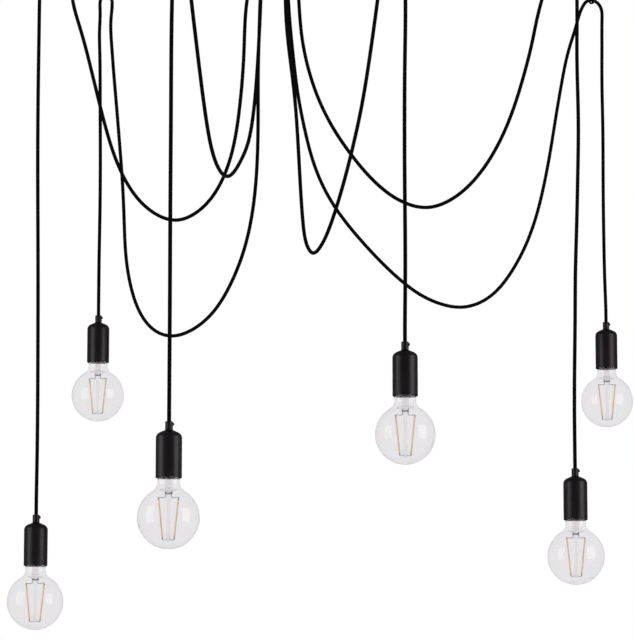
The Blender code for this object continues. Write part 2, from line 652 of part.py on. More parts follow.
def filament_mesh():
    """The glass stem and rod, and the two filaments on their wires, which hang in a V."""
    pinch = RIM_Z - STEM_DEPTH
    rod_end = RIM_Z - STEM_ROD_DEPTH
    stem = turned_mesh("stem", [
        (0.0, RIM_Z + STEM_FOOT_TOP),
        (STEM_FOOT_RADIUS, RIM_Z + STEM_FOOT_TOP),
        (STEM_RADIUS, RIM_Z + STEM_WAIST),
        (STEM_RADIUS, pinch),
        (STEM_ROD_RADIUS, pinch - PINCH_LENGTH),
        (STEM_ROD_RADIUS, rod_end + STEM_ROD_RADIUS),
        (0.0, rod_end),
    ], STEM_SEGMENTS, closed=False)
    top = RIM_Z - FILAMENT_TOP_DEPTH
    bottom = RIM_Z - FILAMENT_BOTTOM_DEPTH
    root = pinch + PINCH_LENGTH / 2
    half = [(STEM_RADIUS / 2, 0.0, root), (FILAMENT_TOP_SPREAD, 0.0, top + WIRE_BEND),
            (FILAMENT_TOP_SPREAD, 0.0, top), (FILAMENT_BOTTOM_SPREAD, 0.0, bottom),
            (FILAMENT_BOTTOM_SPREAD - WIRE_BEND, 0.0, bottom)]
    other = [(-x, y, z) for x, y, z in reversed(half)]
    wire_share = WIRE_RADIUS / FILAMENT_RADIUS
    half_shares = [wire_share, wire_share, 1.0, 1.0, wire_share]
    wire = tube_mesh("filament_wire", half + other, FILAMENT_RADIUS, 0, half_shares + half_shares[::-1])
    return combined_mesh("filament_mount", stem, [("UNION", wire)])


def make_lamps(materials):
    """Six hooks, cords and lamps; copies of a piece share one mesh, and each lamp hangs on its hook's pivot."""
    pieces = (
        ("cord_grip", grip_mesh(), materials["metal"]),
        ("cup", cup_mesh(), materials["metal"]),
        ("socket", socket_mesh(), materials["socket"]),
        ("bulb_cap", cap_mesh(), materials["nickel"]),
        ("bulb_glass", glass_mesh(), materials["glass"]),
        ("filament_mount", filament_mesh(), materials["filament"]),
    )
    hook = hook_mesh()
    for pendant in PENDANTS:
        number = pendant["number"]
        place = place_pendant(pendant)
        add_object(f"ceiling_hook_{number}", hook, materials["metal"], (*place["hook"], 0.0), place["heading"])
        pivot = make_pivot(f"swing_pivot_{number}", (*place["hook"], -SADDLE_DROP))
        drop = make_cords(pendant, place, materials)[-1]
        hang(drop, pivot)
        for name, mesh, material in pieces:
            hang(add_object(f"{name}_{number}", mesh, material, (*place["lamp"], place["top"])), pivot)


# Canopy

def outlet_places():
    """The six cord outlets, in plan."""
    return [tuple(in_plan(OUTLET_CIRCLE_RADIUS, pendant["outlet_bearing"])) for pendant in PENDANTS]


def side_bore(name, radius, length):
    """A bore along X through both sides, at the height of the cover screws."""
    bore = cylinders_mesh(name, radius, -length / 2, length / 2, [(0.0, 0.0)])
    bore.transform(Matrix.Rotation(math.radians(90), 4, "Y"))
    bore.transform(Matrix.Translation((0.0, 0.0, -COVER_SCREW_DROP)))
    return bore


def make_cover(materials):
    """The round canopy cover: a shallow cup, open to the ceiling, with six cord holes and two screw holes."""
    floor = -CANOPY_HEIGHT
    inner = CANOPY_RADIUS - CANOPY_WALL
    centre = (CANOPY_RADIUS - CANOPY_FILLET, floor + CANOPY_FILLET)
    outline = [(0.0, floor + CANOPY_WALL)]
    outline += arc_points(centre, CANOPY_FILLET - CANOPY_WALL, -90, 0, FILLET_STEPS)
    outline += [(inner, -CANOPY_CEILING_GAP), (CANOPY_RADIUS, -CANOPY_CEILING_GAP)]
    outline += arc_points(centre, CANOPY_FILLET, 0, -90, FILLET_STEPS)
    outline += [(0.0, floor)]
    shell = turned_mesh("cover_shell", outline, CANOPY_SEGMENTS, closed=False)
    shell.transform(Matrix.Rotation(math.pi / CANOPY_SEGMENTS, 4, "Z"))
    holes = cylinders_mesh("cover_holes", COLLAR_RADIUS + ROUND_CLEARANCE, floor - OVERRUN,
                           floor + CANOPY_WALL + OVERRUN, outlet_places())
    screws = side_bore("cover_screw_holes", COVER_SCREW_RADIUS + ROUND_CLEARANCE,
                       2 * (CANOPY_RADIUS + OVERRUN))
    cover = combined_mesh("canopy_cover", shell, [("DIFFERENCE", holes), ("DIFFERENCE", screws)])
    add_object("canopy_cover", cover, materials["metal"])


def make_anchor_plate(materials):
    """The cord anchor plate inside the cover, with a bored collar for each cord."""
    floor = -CANOPY_HEIGHT + CANOPY_WALL + GAP
    low = -CANOPY_HEIGHT - COLLAR_DROP
    high = floor + ANCHOR_THICKNESS + COLLAR_RISE
    disc = turned_mesh("anchor_disc", [(0.0, floor), (ANCHOR_RADIUS, floor),
                                       (ANCHOR_RADIUS, floor + ANCHOR_THICKNESS),
                                       (0.0, floor + ANCHOR_THICKNESS)], ANCHOR_SEGMENTS, closed=False)
    collars = cylinders_mesh("anchor_collars", COLLAR_RADIUS, low, high, outlet_places())
    bores = cylinders_mesh("anchor_bores", CORD_BORE_RADIUS, low - OVERRUN, high + OVERRUN, outlet_places())
    plate = combined_mesh("anchor_plate", disc, [("UNION", collars), ("DIFFERENCE", bores)])
    add_object("cord_anchor_plate", plate, materials["plastic"])


def make_bracket(materials):
    """The ceiling bracket: a slotted steel strip with an ear turned down at each end."""
    half = BRACKET_LENGTH / 2
    inner = half - BRACKET_THICKNESS
    outline = [(-half, 0.0), (-half, -BRACKET_EAR), (-inner, -BRACKET_EAR), (-inner, -BRACKET_THICKNESS),
               (inner, -BRACKET_THICKNESS), (inner, -BRACKET_EAR), (half, -BRACKET_EAR), (half, 0.0)]
    shape = bmesh.new()
    corners = [shape.verts.new((x, -BRACKET_WIDTH / 2, z)) for x, z in outline]
    face = shape.faces.new(corners)
    sweep = bmesh.ops.extrude_face_region(shape, geom=[face])
    moved = [item for item in sweep["geom"] if isinstance(item, bmesh.types.BMVert)]
    bmesh.ops.translate(shape, verts=moved, vec=(0.0, BRACKET_WIDTH, 0.0))
    bmesh.ops.recalc_face_normals(shape, faces=shape.faces)
    strip = finish_mesh("bracket_strip", shape)
    steps = []
    for side in (-1, 1):
        middle = side * SLOT_CENTRE
        low = (middle - SLOT_LENGTH / 2, -SLOT_WIDTH / 2, -BRACKET_THICKNESS - OVERRUN)
        high = (middle + SLOT_LENGTH / 2, SLOT_WIDTH / 2, OVERRUN)
        steps.append(("DIFFERENCE", box_mesh("bracket_slot", low, high)))
    ears = side_bore("bracket_ear_holes", COVER_SCREW_RADIUS + ROUND_CLEARANCE, BRACKET_LENGTH + OVERRUN)
    steps.append(("DIFFERENCE", ears))
    add_object("ceiling_bracket", combined_mesh("ceiling_bracket", strip, steps), materials["steel"])


def make_terminal_block(materials):
    """The terminal block under the bracket, with a row of screw wells on its lower face."""
    top = -BRACKET_THICKNESS - GAP
    low = (-BLOCK_LENGTH / 2, -BLOCK_WIDTH / 2, top - BLOCK_HEIGHT)
    high = (BLOCK_LENGTH / 2, BLOCK_WIDTH / 2, top)
    body = box_mesh("block_body", low, high)
    places = [(BLOCK_WELL_PITCH * step, 0.0) for step in (-1, 0, 1)]
    wells = cylinders_mesh("block_wells", BLOCK_WELL_RADIUS, top - BLOCK_HEIGHT - OVERRUN,
                           top - BLOCK_HEIGHT + BLOCK_WELL_DEPTH, places)
    block = combined_mesh("terminal_block", body, [("DIFFERENCE", wells)])
    add_object("terminal_block", block, materials["block"])


def make_cover_screws(materials):
    """The two screws that hold the cover to the bracket's ears, one on each side."""
    inner_end = -COVER_SCREW_LENGTH
    outline = [(0.0, inner_end), (COVER_SCREW_RADIUS, inner_end), (COVER_SCREW_RADIUS, GAP),
               (COVER_SCREW_HEAD_RADIUS, GAP),
               (COVER_SCREW_HEAD_RADIUS, COVER_SCREW_HEAD_HEIGHT - COVER_SCREW_EDGE),
               (COVER_SCREW_HEAD_RADIUS - COVER_SCREW_EDGE, COVER_SCREW_HEAD_HEIGHT),
               (0.0, COVER_SCREW_HEAD_HEIGHT)]
    screw = turned_mesh("cover_screw", outline, INNER_SEGMENTS, closed=False)
    screw.transform(Matrix.Rotation(math.radians(90), 4, "Y"))
    for number, side in ((1, -1), (2, 1)):
        turn = math.pi if side < 0 else 0.0
        place = (side * CANOPY_RADIUS * math.cos(math.pi / CANOPY_SEGMENTS), 0.0, -COVER_SCREW_DROP)
        add_object(f"cover_screw_{number}", screw, materials["metal"], place, turn)


def main():
    """Clear the scene and build the light."""
    for item in list(bpy.data.objects):
        bpy.data.objects.remove(item)
    materials = make_materials()
    make_bracket(materials)
    make_terminal_block(materials)
    make_anchor_plate(materials)
    make_cover(materials)
    make_cover_screws(materials)
    make_lamps(materials)


main()
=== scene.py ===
# %% [markdown]
# # A cluster of bare bulbs on swagged cords
#
# Six black textile cords leave one small canopy on the ceiling. Each sags in a swag, goes over a ceiling
# hook and drops to a black metal lampholder with a clear globe bulb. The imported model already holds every
# size and every joint. This script dresses it: it works out smooth surfaces with numpy, gives each one a
# finish made of shader nodes, and says which body of the model each piece rides on.

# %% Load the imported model
import math

import bmesh
import bpy
import numpy as np
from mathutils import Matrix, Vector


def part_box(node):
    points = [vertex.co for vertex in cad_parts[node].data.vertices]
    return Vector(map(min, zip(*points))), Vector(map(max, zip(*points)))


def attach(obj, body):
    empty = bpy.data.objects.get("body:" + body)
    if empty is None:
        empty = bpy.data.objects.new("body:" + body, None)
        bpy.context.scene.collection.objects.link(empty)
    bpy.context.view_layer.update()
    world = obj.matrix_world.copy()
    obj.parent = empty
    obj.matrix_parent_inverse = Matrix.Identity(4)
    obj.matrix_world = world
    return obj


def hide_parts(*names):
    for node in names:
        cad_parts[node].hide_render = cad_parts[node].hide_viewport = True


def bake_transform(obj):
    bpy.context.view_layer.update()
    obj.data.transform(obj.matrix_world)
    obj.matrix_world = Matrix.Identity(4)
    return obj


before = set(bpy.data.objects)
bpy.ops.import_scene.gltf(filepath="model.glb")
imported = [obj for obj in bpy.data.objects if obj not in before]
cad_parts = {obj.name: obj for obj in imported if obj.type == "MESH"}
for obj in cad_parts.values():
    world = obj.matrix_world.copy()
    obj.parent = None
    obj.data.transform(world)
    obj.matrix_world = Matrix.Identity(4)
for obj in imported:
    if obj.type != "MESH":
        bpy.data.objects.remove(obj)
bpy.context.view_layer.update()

# %% [markdown]
# ## Surfaces as grids of points
#
# A lamp is mostly made of turned and drawn parts. Each can be written as a function of two parameters,
# one round the part and one along it, so a whole surface is one numpy array of rows and columns. The
# helper below turns such grids, each closed round its rows, into one mesh. It merges points that meet,
# which closes the poles and the seams between grids, and then turns all faces outwards.

# %% From grids to a mesh
MERGE_DISTANCE = 0.000002
EDGE_ANGLE = 38
FINE_EDGE_ANGLE = 30
SOFT_EDGE_ANGLE = 50


def grid_faces(rows, columns):
    """Faces of a grid whose point (i, j) is number i * columns + j, and a (u, v) for each of their corners.

    The last column meets the first. u runs from 0 to 1 round a row, and v from the first row to the last.
    """
    i, j = np.meshgrid(np.arange(rows - 1), np.arange(columns), indexing="ij")
    beside = (j + 1) % columns
    corners = (i * columns + j, i * columns + beside, (i + 1) * columns + beside, (i + 1) * columns + j)
    u = np.stack((j, j + 1, j + 1, j), axis=-1) / columns
    v = np.stack((i, i, i + 1, i + 1), axis=-1) / (rows - 1)
    return np.stack(corners, axis=-1).reshape(-1, 4), np.stack((u, v), axis=-1).reshape(-1, 2)


def make_piece(name, nodes, grids, material, body=None, uv_size=(1.0, 1.0), crisp=EDGE_ANGLE):
    """One object from grids of points, in place of the model's nodes.

    Edges sharper than crisp degrees stay sharp, and uv_size stretches the (u, v) of every grid. A piece that
    is given no body rides on none.
    """
    points = []
    faces = []
    corners = []
    first = 0
    for grid in grids:
        rows, columns = grid.shape[:2]
        quads, uv = grid_faces(rows, columns)
        points.append(grid.reshape(-1, 3))
        faces.append(quads + first)
        corners.append(uv * uv_size)
        first += rows * columns
    mesh = bpy.data.meshes.new(name)
    mesh.from_pydata(np.concatenate(points).tolist(), [], np.concatenate(faces).tolist())
    layer = mesh.uv_layers.new(name="surface")
    layer.data.foreach_set("uv", np.concatenate(corners).ravel())
    shape = bmesh.new()
    shape.from_mesh(mesh)
    bmesh.ops.remove_doubles(shape, verts=shape.verts, dist=MERGE_DISTANCE)
    bmesh.ops.dissolve_degenerate(shape, edges=shape.edges, dist=MERGE_DISTANCE)
    bmesh.ops.recalc_face_normals(shape, faces=shape.faces)
    open_edges = sum(edge.is_boundary for edge in shape.edges)
    shape.to_mesh(mesh)
    shape.free()
    mesh.shade_smooth()
    mesh.set_sharp_from_angle(angle=math.radians(crisp))
    mesh.materials.append(material)
    piece = bpy.data.objects.new(name, mesh)
    bpy.context.scene.collection.objects.link(piece)
    if body:
        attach(piece, body)
    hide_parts(*nodes)
    if open_edges:
        print(name, "has open edges:", open_edges)
    return piece


print("grid helper ready")

# %% [markdown]
# ## Turned parts, rounded outlines and tubes
#
# Three formulas make nearly everything here. A turned part carries an outline of radius and height round
# an axis. A rounded outline swaps each sharp corner for a small curve, because no real edge is perfectly
# sharp and the rounding is what catches the light. A tube carries a circle along a line.

# %% The three formulas
LARGEST_CUT_SHARE = 0.45


def round_angles(sides):
    """The angles of the points of a circle, in radians."""
    return np.linspace(0.0, math.tau, sides, endpoint=False)


def polar(distance, angle):
    """(distance cos a, distance sin a), for an angle a in degrees."""
    return distance * np.array((math.cos(math.radians(angle)), math.sin(math.radians(angle))))


def turned(outline, sides, place=(0.0, 0.0, 0.0), ripple=0.0):
    """A surface of revolution: from place, point (i, j) is (r cos a_j, r sin a_j, z_i).

    Its radius r is the outline's own radius r_i and a ripple_ij.
    """
    radius, height = np.asarray(outline, dtype=float).T[:, :, None]
    angle = round_angles(sides)[None, :]
    radius = radius + ripple
    grid = np.stack((radius * np.cos(angle), radius * np.sin(angle), height + 0.0 * angle), axis=-1)
    return grid + np.asarray(place)


def lying(grid):
    """The same surface with its axis turned from +Z to +X: (x, y, z) goes to (z, x, y)."""
    return grid[..., [2, 0, 1]]


def rounded(corners, cut, steps=4):
    """An outline with its inner corners rounded.

    Each corner c becomes the curve (1-t)^2 a + 2t(1-t) c + t^2 b, where a and b lie on its two sides, cut
    away from it or a little under half a side, whichever is nearer.
    """
    corners = np.asarray(corners, dtype=float)
    before, corner, after = corners[:-2], corners[1:-1], corners[2:]

    def towards(goal):
        way = goal - corner
        length = np.linalg.norm(way, axis=1, keepdims=True)
        return corner + way * np.minimum(cut / length, LARGEST_CUT_SHARE)

    t = np.linspace(0.0, 1.0, steps + 1)[None, :, None]
    first, last = towards(before)[:, None], towards(after)[:, None]
    curve = (1 - t) ** 2 * first + 2 * t * (1 - t) * corner[:, None] + t ** 2 * last
    return np.concatenate((corners[:1], curve.reshape(-1, 2), corners[-1:]))


def arc(centre, radius, first, last, steps):
    """Points at centre + radius (cos a, sin a), for angles a from first to last degrees."""
    angle = np.radians(np.linspace(first, last, steps + 1))
    return np.stack((centre[0] + radius * np.cos(angle), centre[1] + radius * np.sin(angle)), axis=-1)


def tube(line, radius, sides, across):
    """A tube with closed ends along a line that lies in one plane.

    Point (i, j) is line_i + r_i (cos a_j N_i + sin a_j B). B is the unit vector across the plane, T the
    line's direction and N = B x T, so the tube never twists.
    """
    line = np.asarray(line, dtype=float)
    along = np.gradient(line, axis=0)
    along /= np.linalg.norm(along, axis=1, keepdims=True)
    across = np.asarray(across, dtype=float)
    aside = np.cross(across, along)
    angle = round_angles(sides)[None, :, None]
    size = np.broadcast_to(np.asarray(radius, dtype=float), len(line))[:, None, None]
    skin = line[:, None] + size * (np.cos(angle) * aside[:, None] + np.sin(angle) * across)
    first, last = (np.broadcast_to(line[end], (1, sides, 3)) for end in (0, -1))
    return np.concatenate((first, skin, last))


SPLINE_STEPS = 40


def smooth_line(route):
    """A natural cubic spline through a route's points.

    Its parameter is the distance along the straight stretches. On a stretch of length h, between bends m0 and
    m1 and points p0 and p1, it is m0 (h-s)^3/6h + m1 s^3/6h + (p0/h - m0 h/6)(h-s) + (p1/h - m1 h/6) s. The
    bends come from asking for the same slope on both sides of each point, and none at the two ends.
    """
    points = np.asarray(route, dtype=float)
    h = np.linalg.norm(np.diff(points, axis=0), axis=1)
    slopes = np.diff(points, axis=0) / h[:, None]
    matrix = np.eye(len(points))
    inner = np.arange(1, len(points) - 1)
    matrix[inner, inner - 1] = h[:-1]
    matrix[inner, inner] = 2 * (h[:-1] + h[1:])
    matrix[inner, inner + 1] = h[1:]
    sides = np.zeros_like(points)
    sides[inner] = 6 * np.diff(slopes, axis=0)
    bends = np.linalg.solve(matrix, sides)
    h = h[:, None, None]
    s = h * (np.arange(SPLINE_STEPS) / SPLINE_STEPS)[None, :, None]
    p0, p1, m0, m1 = points[:-1, None], points[1:, None], bends[:-1, None], bends[1:, None]
    line = (m0 * (h - s) ** 3 / (6 * h) + m1 * s ** 3 / (6 * h)
            + (p0 / h - m0 * h / 6) * (h - s) + (p1 / h - m1 * h / 6) * s)
    return np.concatenate((line.reshape(-1, points.shape[1]), points[-1:]))


def line_distances(line):
    """Distance along a line at each of its points."""
    return np.concatenate(([0.0], np.cumsum(np.linalg.norm(np.diff(line, axis=0), axis=1))))


def evenly(line, spacing):
    """Points along a line, as near to spacing apart as divides it evenly."""
    distance = line_distances(line)
    wanted = np.linspace(0.0, distance[-1], round(distance[-1] / spacing) + 1)
    return np.stack([np.interp(wanted, distance, column) for column in line.T], axis=-1)


print("a spline of", SPLINE_STEPS, "points for each stretch of a route")

# %% [markdown]
# ## The camera
#
# The photo looks slightly up at the lamps from about five metres. The bulbs all have the same size, so
# the width of each in the photo gives its distance, and the swags and drops then fix the height and the
# tilt. The lens is shifted, as on a view camera, because the photo is cut from above the middle of its
# view.

# %% Camera at the photo's place
CAMERA_PLACE = (0.074, -5.090, -1.5455)
CAMERA_TILT = 7.79
LENS = 168.75
LENS_SHIFT = 0.14
FARTHEST_SEEN = 50

camera = bpy.data.objects.new("camera", bpy.data.cameras.new("camera"))
camera.location = CAMERA_PLACE
camera.rotation_euler = (math.radians(90 + CAMERA_TILT), 0.0, 0.0)
camera.data.lens = LENS
camera.data.shift_y = LENS_SHIFT
camera.data.clip_end = FARTHEST_SEEN
bpy.context.scene.collection.objects.link(camera)
bpy.context.scene.camera = camera
print("camera", CAMERA_PLACE, "tilted up", CAMERA_TILT)

# %% [markdown]
# ## Finishes from shader nodes
#
# Every finish starts from one Principled shader. The numbers that are the same all over a surface go
# straight on its sockets. What varies is a pattern: noise for the fine orange peel of paint, two crossed
# waves for a braid. Patterns read Object coordinates, in metres, or the surface's own (u, v).

# %% Node helpers


def new_finish(name, colour, roughness, metallic=0.0, **sockets):
    """A Principled material, with further sockets set by name, and the same colour in a plain viewport."""
    material = bpy.data.materials.new(name)
    material.use_nodes = True
    material.diffuse_color = (*colour, 1.0)
    shader = material.node_tree.nodes["Principled BSDF"]
    shader.inputs["Base Color"].default_value = (*colour, 1.0)
    shader.inputs["Roughness"].default_value = roughness
    shader.inputs["Metallic"].default_value = metallic
    for socket, value in sockets.items():
        shader.inputs[socket.replace("_", " ")].default_value = value
    return material


def add_node(owner, kind, links=(), **settings):
    """A node of a material or the world, with some sockets set, and some linked as (input name, output)."""
    node = owner.node_tree.nodes.new(kind)
    for name, value in settings.items():
        if hasattr(node, name):
            setattr(node, name, value)
        else:
            node.inputs[name.replace("_", " ")].default_value = value
    for name, output in links:
        owner.node_tree.links.new(output, node.inputs[name])
    return node


def combine(owner, operation, *values):
    """The output of a Math node, whose inputs are numbers or the outputs of other nodes."""
    node = add_node(owner, "ShaderNodeMath", operation=operation)
    for socket, value in zip(node.inputs, values):
        if isinstance(value, float):
            socket.default_value = value
        else:
            owner.node_tree.links.new(value, socket)
    return node.outputs[0]


def noise(material, scale, detail=3.0, stretch=None):
    """Noise over the surface, on a scale in cells for each metre, stretched along its axes if asked."""
    source = add_node(material, "ShaderNodeTexCoord").outputs["Object"]
    if stretch:
        mapping = add_node(material, "ShaderNodeMapping", [("Vector", source)], Scale=stretch)
        source = mapping.outputs["Vector"]
    texture = add_node(material, "ShaderNodeTexNoise", [("Vector", source)], Scale=scale, Detail=detail)
    return texture.outputs["Fac"]


def vary(material, socket, pattern, low, high):
    """Let a pattern run a shader socket between two values or two colours."""
    shader = material.node_tree.nodes["Principled BSDF"]
    if isinstance(low, tuple):
        ramp = add_node(material, "ShaderNodeValToRGB", [("Fac", pattern)])
        ramp.color_ramp.elements[0].color = (*low, 1.0)
        ramp.color_ramp.elements[1].color = (*high, 1.0)
        output = ramp.outputs["Color"]
    else:
        ramp = add_node(material, "ShaderNodeMapRange", [("Value", pattern)], To_Min=low, To_Max=high)
        output = ramp.outputs["Result"]
    material.node_tree.links.new(output, shader.inputs[socket])


def bump(material, pattern, depth, strength=1.0):
    """Let a pattern from 0 to 1 raise the surface by depth, in metres."""
    shader = material.node_tree.nodes["Principled BSDF"]
    node = add_node(material, "ShaderNodeBump", [("Height", pattern)], Strength=strength, Distance=depth)
    material.node_tree.links.new(node.outputs["Normal"], shader.inputs["Normal"])


print("finish helpers ready")

# %% [markdown]
# ## The textile cord's finish
#
# The cord's cover is a braid: half of its yarns wind one way and half the other. Two sine waves that
# cross at a slant, multiplied, give the small diamonds that such a braid shows. The pattern follows the
# cord because it is drawn on the tube's own (u, v), with u once round it and v in metres along it.

# %% Braid
BRAID_YARNS = 8
BRAID_PITCH = 0.0026


def slanted_wave(material, round_cord, along_cord, turns, pitch):
    """sin(2 pi (turns u + v / pitch)), a wave that winds round the cord."""
    winding = combine(material, "MULTIPLY", round_cord, math.tau * turns)
    total = combine(material, "MULTIPLY_ADD", along_cord, math.tau / pitch, winding)
    return combine(material, "SINE", total)


def braided_textile():
    """Black braid: diamonds of yarn with a painted highlight, a lighter colour on their crowns, and a soft
    fibre sheen.
    """
    material = new_finish("braided_textile", (0.003, 0.0027, 0.003), 0.8, Sheen_Weight=0.01,
                          Sheen_Roughness=0.4, Specular_IOR_Level=0.05)
    uv = add_node(material, "ShaderNodeTexCoord").outputs["UV"]
    split = add_node(material, "ShaderNodeSeparateXYZ", [("Vector", uv)])
    waves = [slanted_wave(material, split.outputs["X"], split.outputs["Y"], turns, BRAID_PITCH)
             for turns in (BRAID_YARNS, -BRAID_YARNS)]
    product = combine(material, "MULTIPLY", *waves)
    raised = add_node(material, "ShaderNodeMapRange", [("Value", product)], From_Min=-1.0)
    diamonds = raised.outputs["Result"]
    # Painted highlight: the crowns of the diamonds get a lighter base colour.
    vary(material, "Base Color", diamonds, (0.0008, 0.0006, 0.0008), (0.0035, 0.003, 0.0035))
    vary(material, "Roughness", noise(material, 900), 0.7, 0.9)
    bump(material, diamonds, 0.0002)
    return material


textile = braided_textile()
print("braid:", 2 * BRAID_YARNS, "yarns, a diamond every", BRAID_PITCH / 2 * 1000, "mm")

# %% [markdown]
# ## The cords
#
# A cord this thin is limp: it leaves its collar straight down, sags in a curve that its own weight draws,
# climbs to its hook, turns over it and hangs plumb to the lamp. Each route is the list of points that the
# model's solids follow, as distances out from the canopy and heights, in the upright plane through the
# outlet and the lamp. A spline makes it smooth. The whole cord is one tube, though the model has it as
# two solids: past the hook's top it swings with the lamp, but the tube here is given to no body.

# %% Where each pendant is
CORD_DIAMETER = 0.0064
CORD_ENTRY = 0.009
CORD_STRAIGHT = 3 * CORD_DIAMETER
ARCH_RADIUS = 0.023
SADDLE_DROP = 0.0255
OUTLET_CIRCLE_RADIUS = 0.038
COLLAR_MOUTH = -0.038
CLUSTER_REACH = 0.723
LONGEST_DROP = 1.032
BEND_ANGLES = (30, 60)

PENDANTS = (
    {
        "number": 1, "outlet_bearing": 180, "bearing": 182.4, "reach_share": 0.558,
        "drop_share": 1.0, "arch_share": 1.0,
        "swag": ((0.010, -0.128), (0.015, -0.215), (0.023, -0.325), (0.036, -0.402), (0.060, -0.464),
                 (0.092, -0.503), (0.131, -0.520), (0.172, -0.506), (0.208, -0.469), (0.236, -0.414),
                 (0.257, -0.347), (0.279, -0.260), (0.300, -0.182), (0.315, -0.120)),
        "drop": ((0.0045, -0.065), (0.005, -0.11), (0.0056, -0.17), (0.0058, -0.28), (0.005, -0.42),
                 (0.003, -0.55), (0.0015, -0.66), (0.0003, -0.78), (-0.0004, -0.92)),
    },
    {
        "number": 2, "outlet_bearing": 120, "bearing": 134.8, "reach_share": 0.640,
        "drop_share": 0.611, "arch_share": 0.67,
        "swag": ((0.006, -0.090), (0.011, -0.150), (0.014, -0.240), (0.014, -0.330), (0.017, -0.420),
                 (0.027, -0.492), (0.047, -0.556), (0.079, -0.612), (0.124, -0.659), (0.178, -0.685),
                 (0.232, -0.690), (0.280, -0.672), (0.317, -0.634), (0.340, -0.585), (0.353, -0.530),
                 (0.359, -0.460), (0.365, -0.385), (0.374, -0.310), (0.383, -0.240), (0.391, -0.180),
                 (0.3975, -0.125), (0.3995, -0.075)),
        "drop": ((0.004, -0.055), (0.005, -0.093), (0.0036, -0.138), (0.0015, -0.217), (-0.0003, -0.307),
                 (-0.0013, -0.398), (-0.0008, -0.47), (0.0, -0.54)),
    },
    {
        "number": 3, "outlet_bearing": 240, "bearing": 254.8, "reach_share": 0.799,
        "drop_share": 0.9144, "arch_share": 1.0,
        "swag": ((0.010, -0.100), (0.019, -0.155), (0.030, -0.225), (0.045, -0.295), (0.067, -0.362),
                 (0.097, -0.412), (0.134, -0.446), (0.175, -0.475), (0.210, -0.492), (0.246, -0.498),
                 (0.282, -0.491), (0.315, -0.471), (0.341, -0.440), (0.365, -0.400), (0.393, -0.345),
                 (0.421, -0.287), (0.446, -0.230), (0.468, -0.168), (0.487, -0.105)),
        "drop": ((0.0, -0.12), (0.0, -0.30), (0.001, -0.45), (0.001, -0.60), (0.0, -0.75)),
    },
    {
        "number": 4, "outlet_bearing": 300, "bearing": 297.4, "reach_share": 0.640,
        "drop_share": 0.7726, "arch_share": 1.0,
        "swag": ((0.0, -0.120), (0.004, -0.175), (0.014, -0.226), (0.027, -0.277), (0.038, -0.325),
                 (0.046, -0.374), (0.053, -0.430), (0.060, -0.488), (0.069, -0.545), (0.083, -0.583),
                 (0.107, -0.601), (0.134, -0.594), (0.161, -0.573), (0.184, -0.547), (0.216, -0.503),
                 (0.251, -0.445), (0.281, -0.385), (0.307, -0.316), (0.328, -0.250), (0.346, -0.190),
                 (0.363, -0.135), (0.377, -0.088)),
        "drop": ((0.007, -0.12), (0.006, -0.24), (0.0035, -0.34), (0.0015, -0.43), (0.0012, -0.53),
                 (0.002, -0.64), (0.001, -0.73)),
    },
    {
        "number": 5, "outlet_bearing": 0, "bearing": 349.2, "reach_share": 0.713,
        "drop_share": 0.9321, "arch_share": 1.0,
        "swag": ((0.002, -0.090), (0.005, -0.140), (0.010, -0.195), (0.021, -0.250), (0.039, -0.305),
                 (0.064, -0.357), (0.098, -0.409), (0.140, -0.459), (0.186, -0.494), (0.231, -0.506),
                 (0.276, -0.491), (0.317, -0.455), (0.352, -0.403), (0.378, -0.345), (0.396, -0.290),
                 (0.412, -0.230), (0.426, -0.168), (0.439, -0.108)),
        "drop": ((0.012, -0.065), (0.0125, -0.14), (0.0115, -0.25), (0.0125, -0.37), (0.0105, -0.46),
                 (0.0075, -0.55), (0.0045, -0.63), (0.003, -0.71), (0.001, -0.80), (0.0, -0.88)),
    },
    {
        "number": 6, "outlet_bearing": 60, "bearing": 32.0, "reach_share": 0.9916,
        "drop_share": 0.6146, "arch_share": 0.96,
        "swag": ((0.003, -0.090), (0.007, -0.140), (0.015, -0.215), (0.026, -0.290), (0.038, -0.343),
                 (0.055, -0.399), (0.080, -0.450), (0.113, -0.493), (0.153, -0.532), (0.200, -0.571),
                 (0.240, -0.599), (0.280, -0.620), (0.322, -0.632), (0.363, -0.634), (0.400, -0.624),
                 (0.434, -0.603), (0.473, -0.560), (0.505, -0.508), (0.530, -0.449), (0.548, -0.388),
                 (0.563, -0.323), (0.576, -0.258), (0.590, -0.192), (0.606, -0.130), (0.624, -0.080)),
        "drop": ((0.0, -0.06), (-0.001, -0.11), (-0.002, -0.17), (-0.0015, -0.26), (-0.0025, -0.39),
                 (-0.0025, -0.48), (-0.0012, -0.57)),
    },
)


def place_pendant(pendant):
    """Outlet, lamp and hook in plan, the unit vector out towards the lamp, and the top of the lampholder."""
    outlet = polar(OUTLET_CIRCLE_RADIUS, pendant["outlet_bearing"])
    lamp = polar(CLUSTER_REACH * pendant["reach_share"], pendant["bearing"])
    span = np.linalg.norm(lamp - outlet)
    out = (lamp - outlet) / span
    arch = ARCH_RADIUS * pendant["arch_share"]
    hook_distance = span + pendant["drop"][0][0] - arch
    return {"outlet": outlet, "lamp": lamp, "span": span, "out": out, "arch": arch,
            "hook_distance": hook_distance, "hook": outlet + out * hook_distance,
            "top": -LONGEST_DROP * pendant["drop_share"]}


for pendant in PENDANTS:
    place = place_pendant(pendant)
    print("pendant", pendant["number"], "lamp at", place["lamp"].round(3), "top", round(place["top"], 3))

# %% Cords along their routes
CORD_SPACING = 0.003
CORD_SIDES = 16


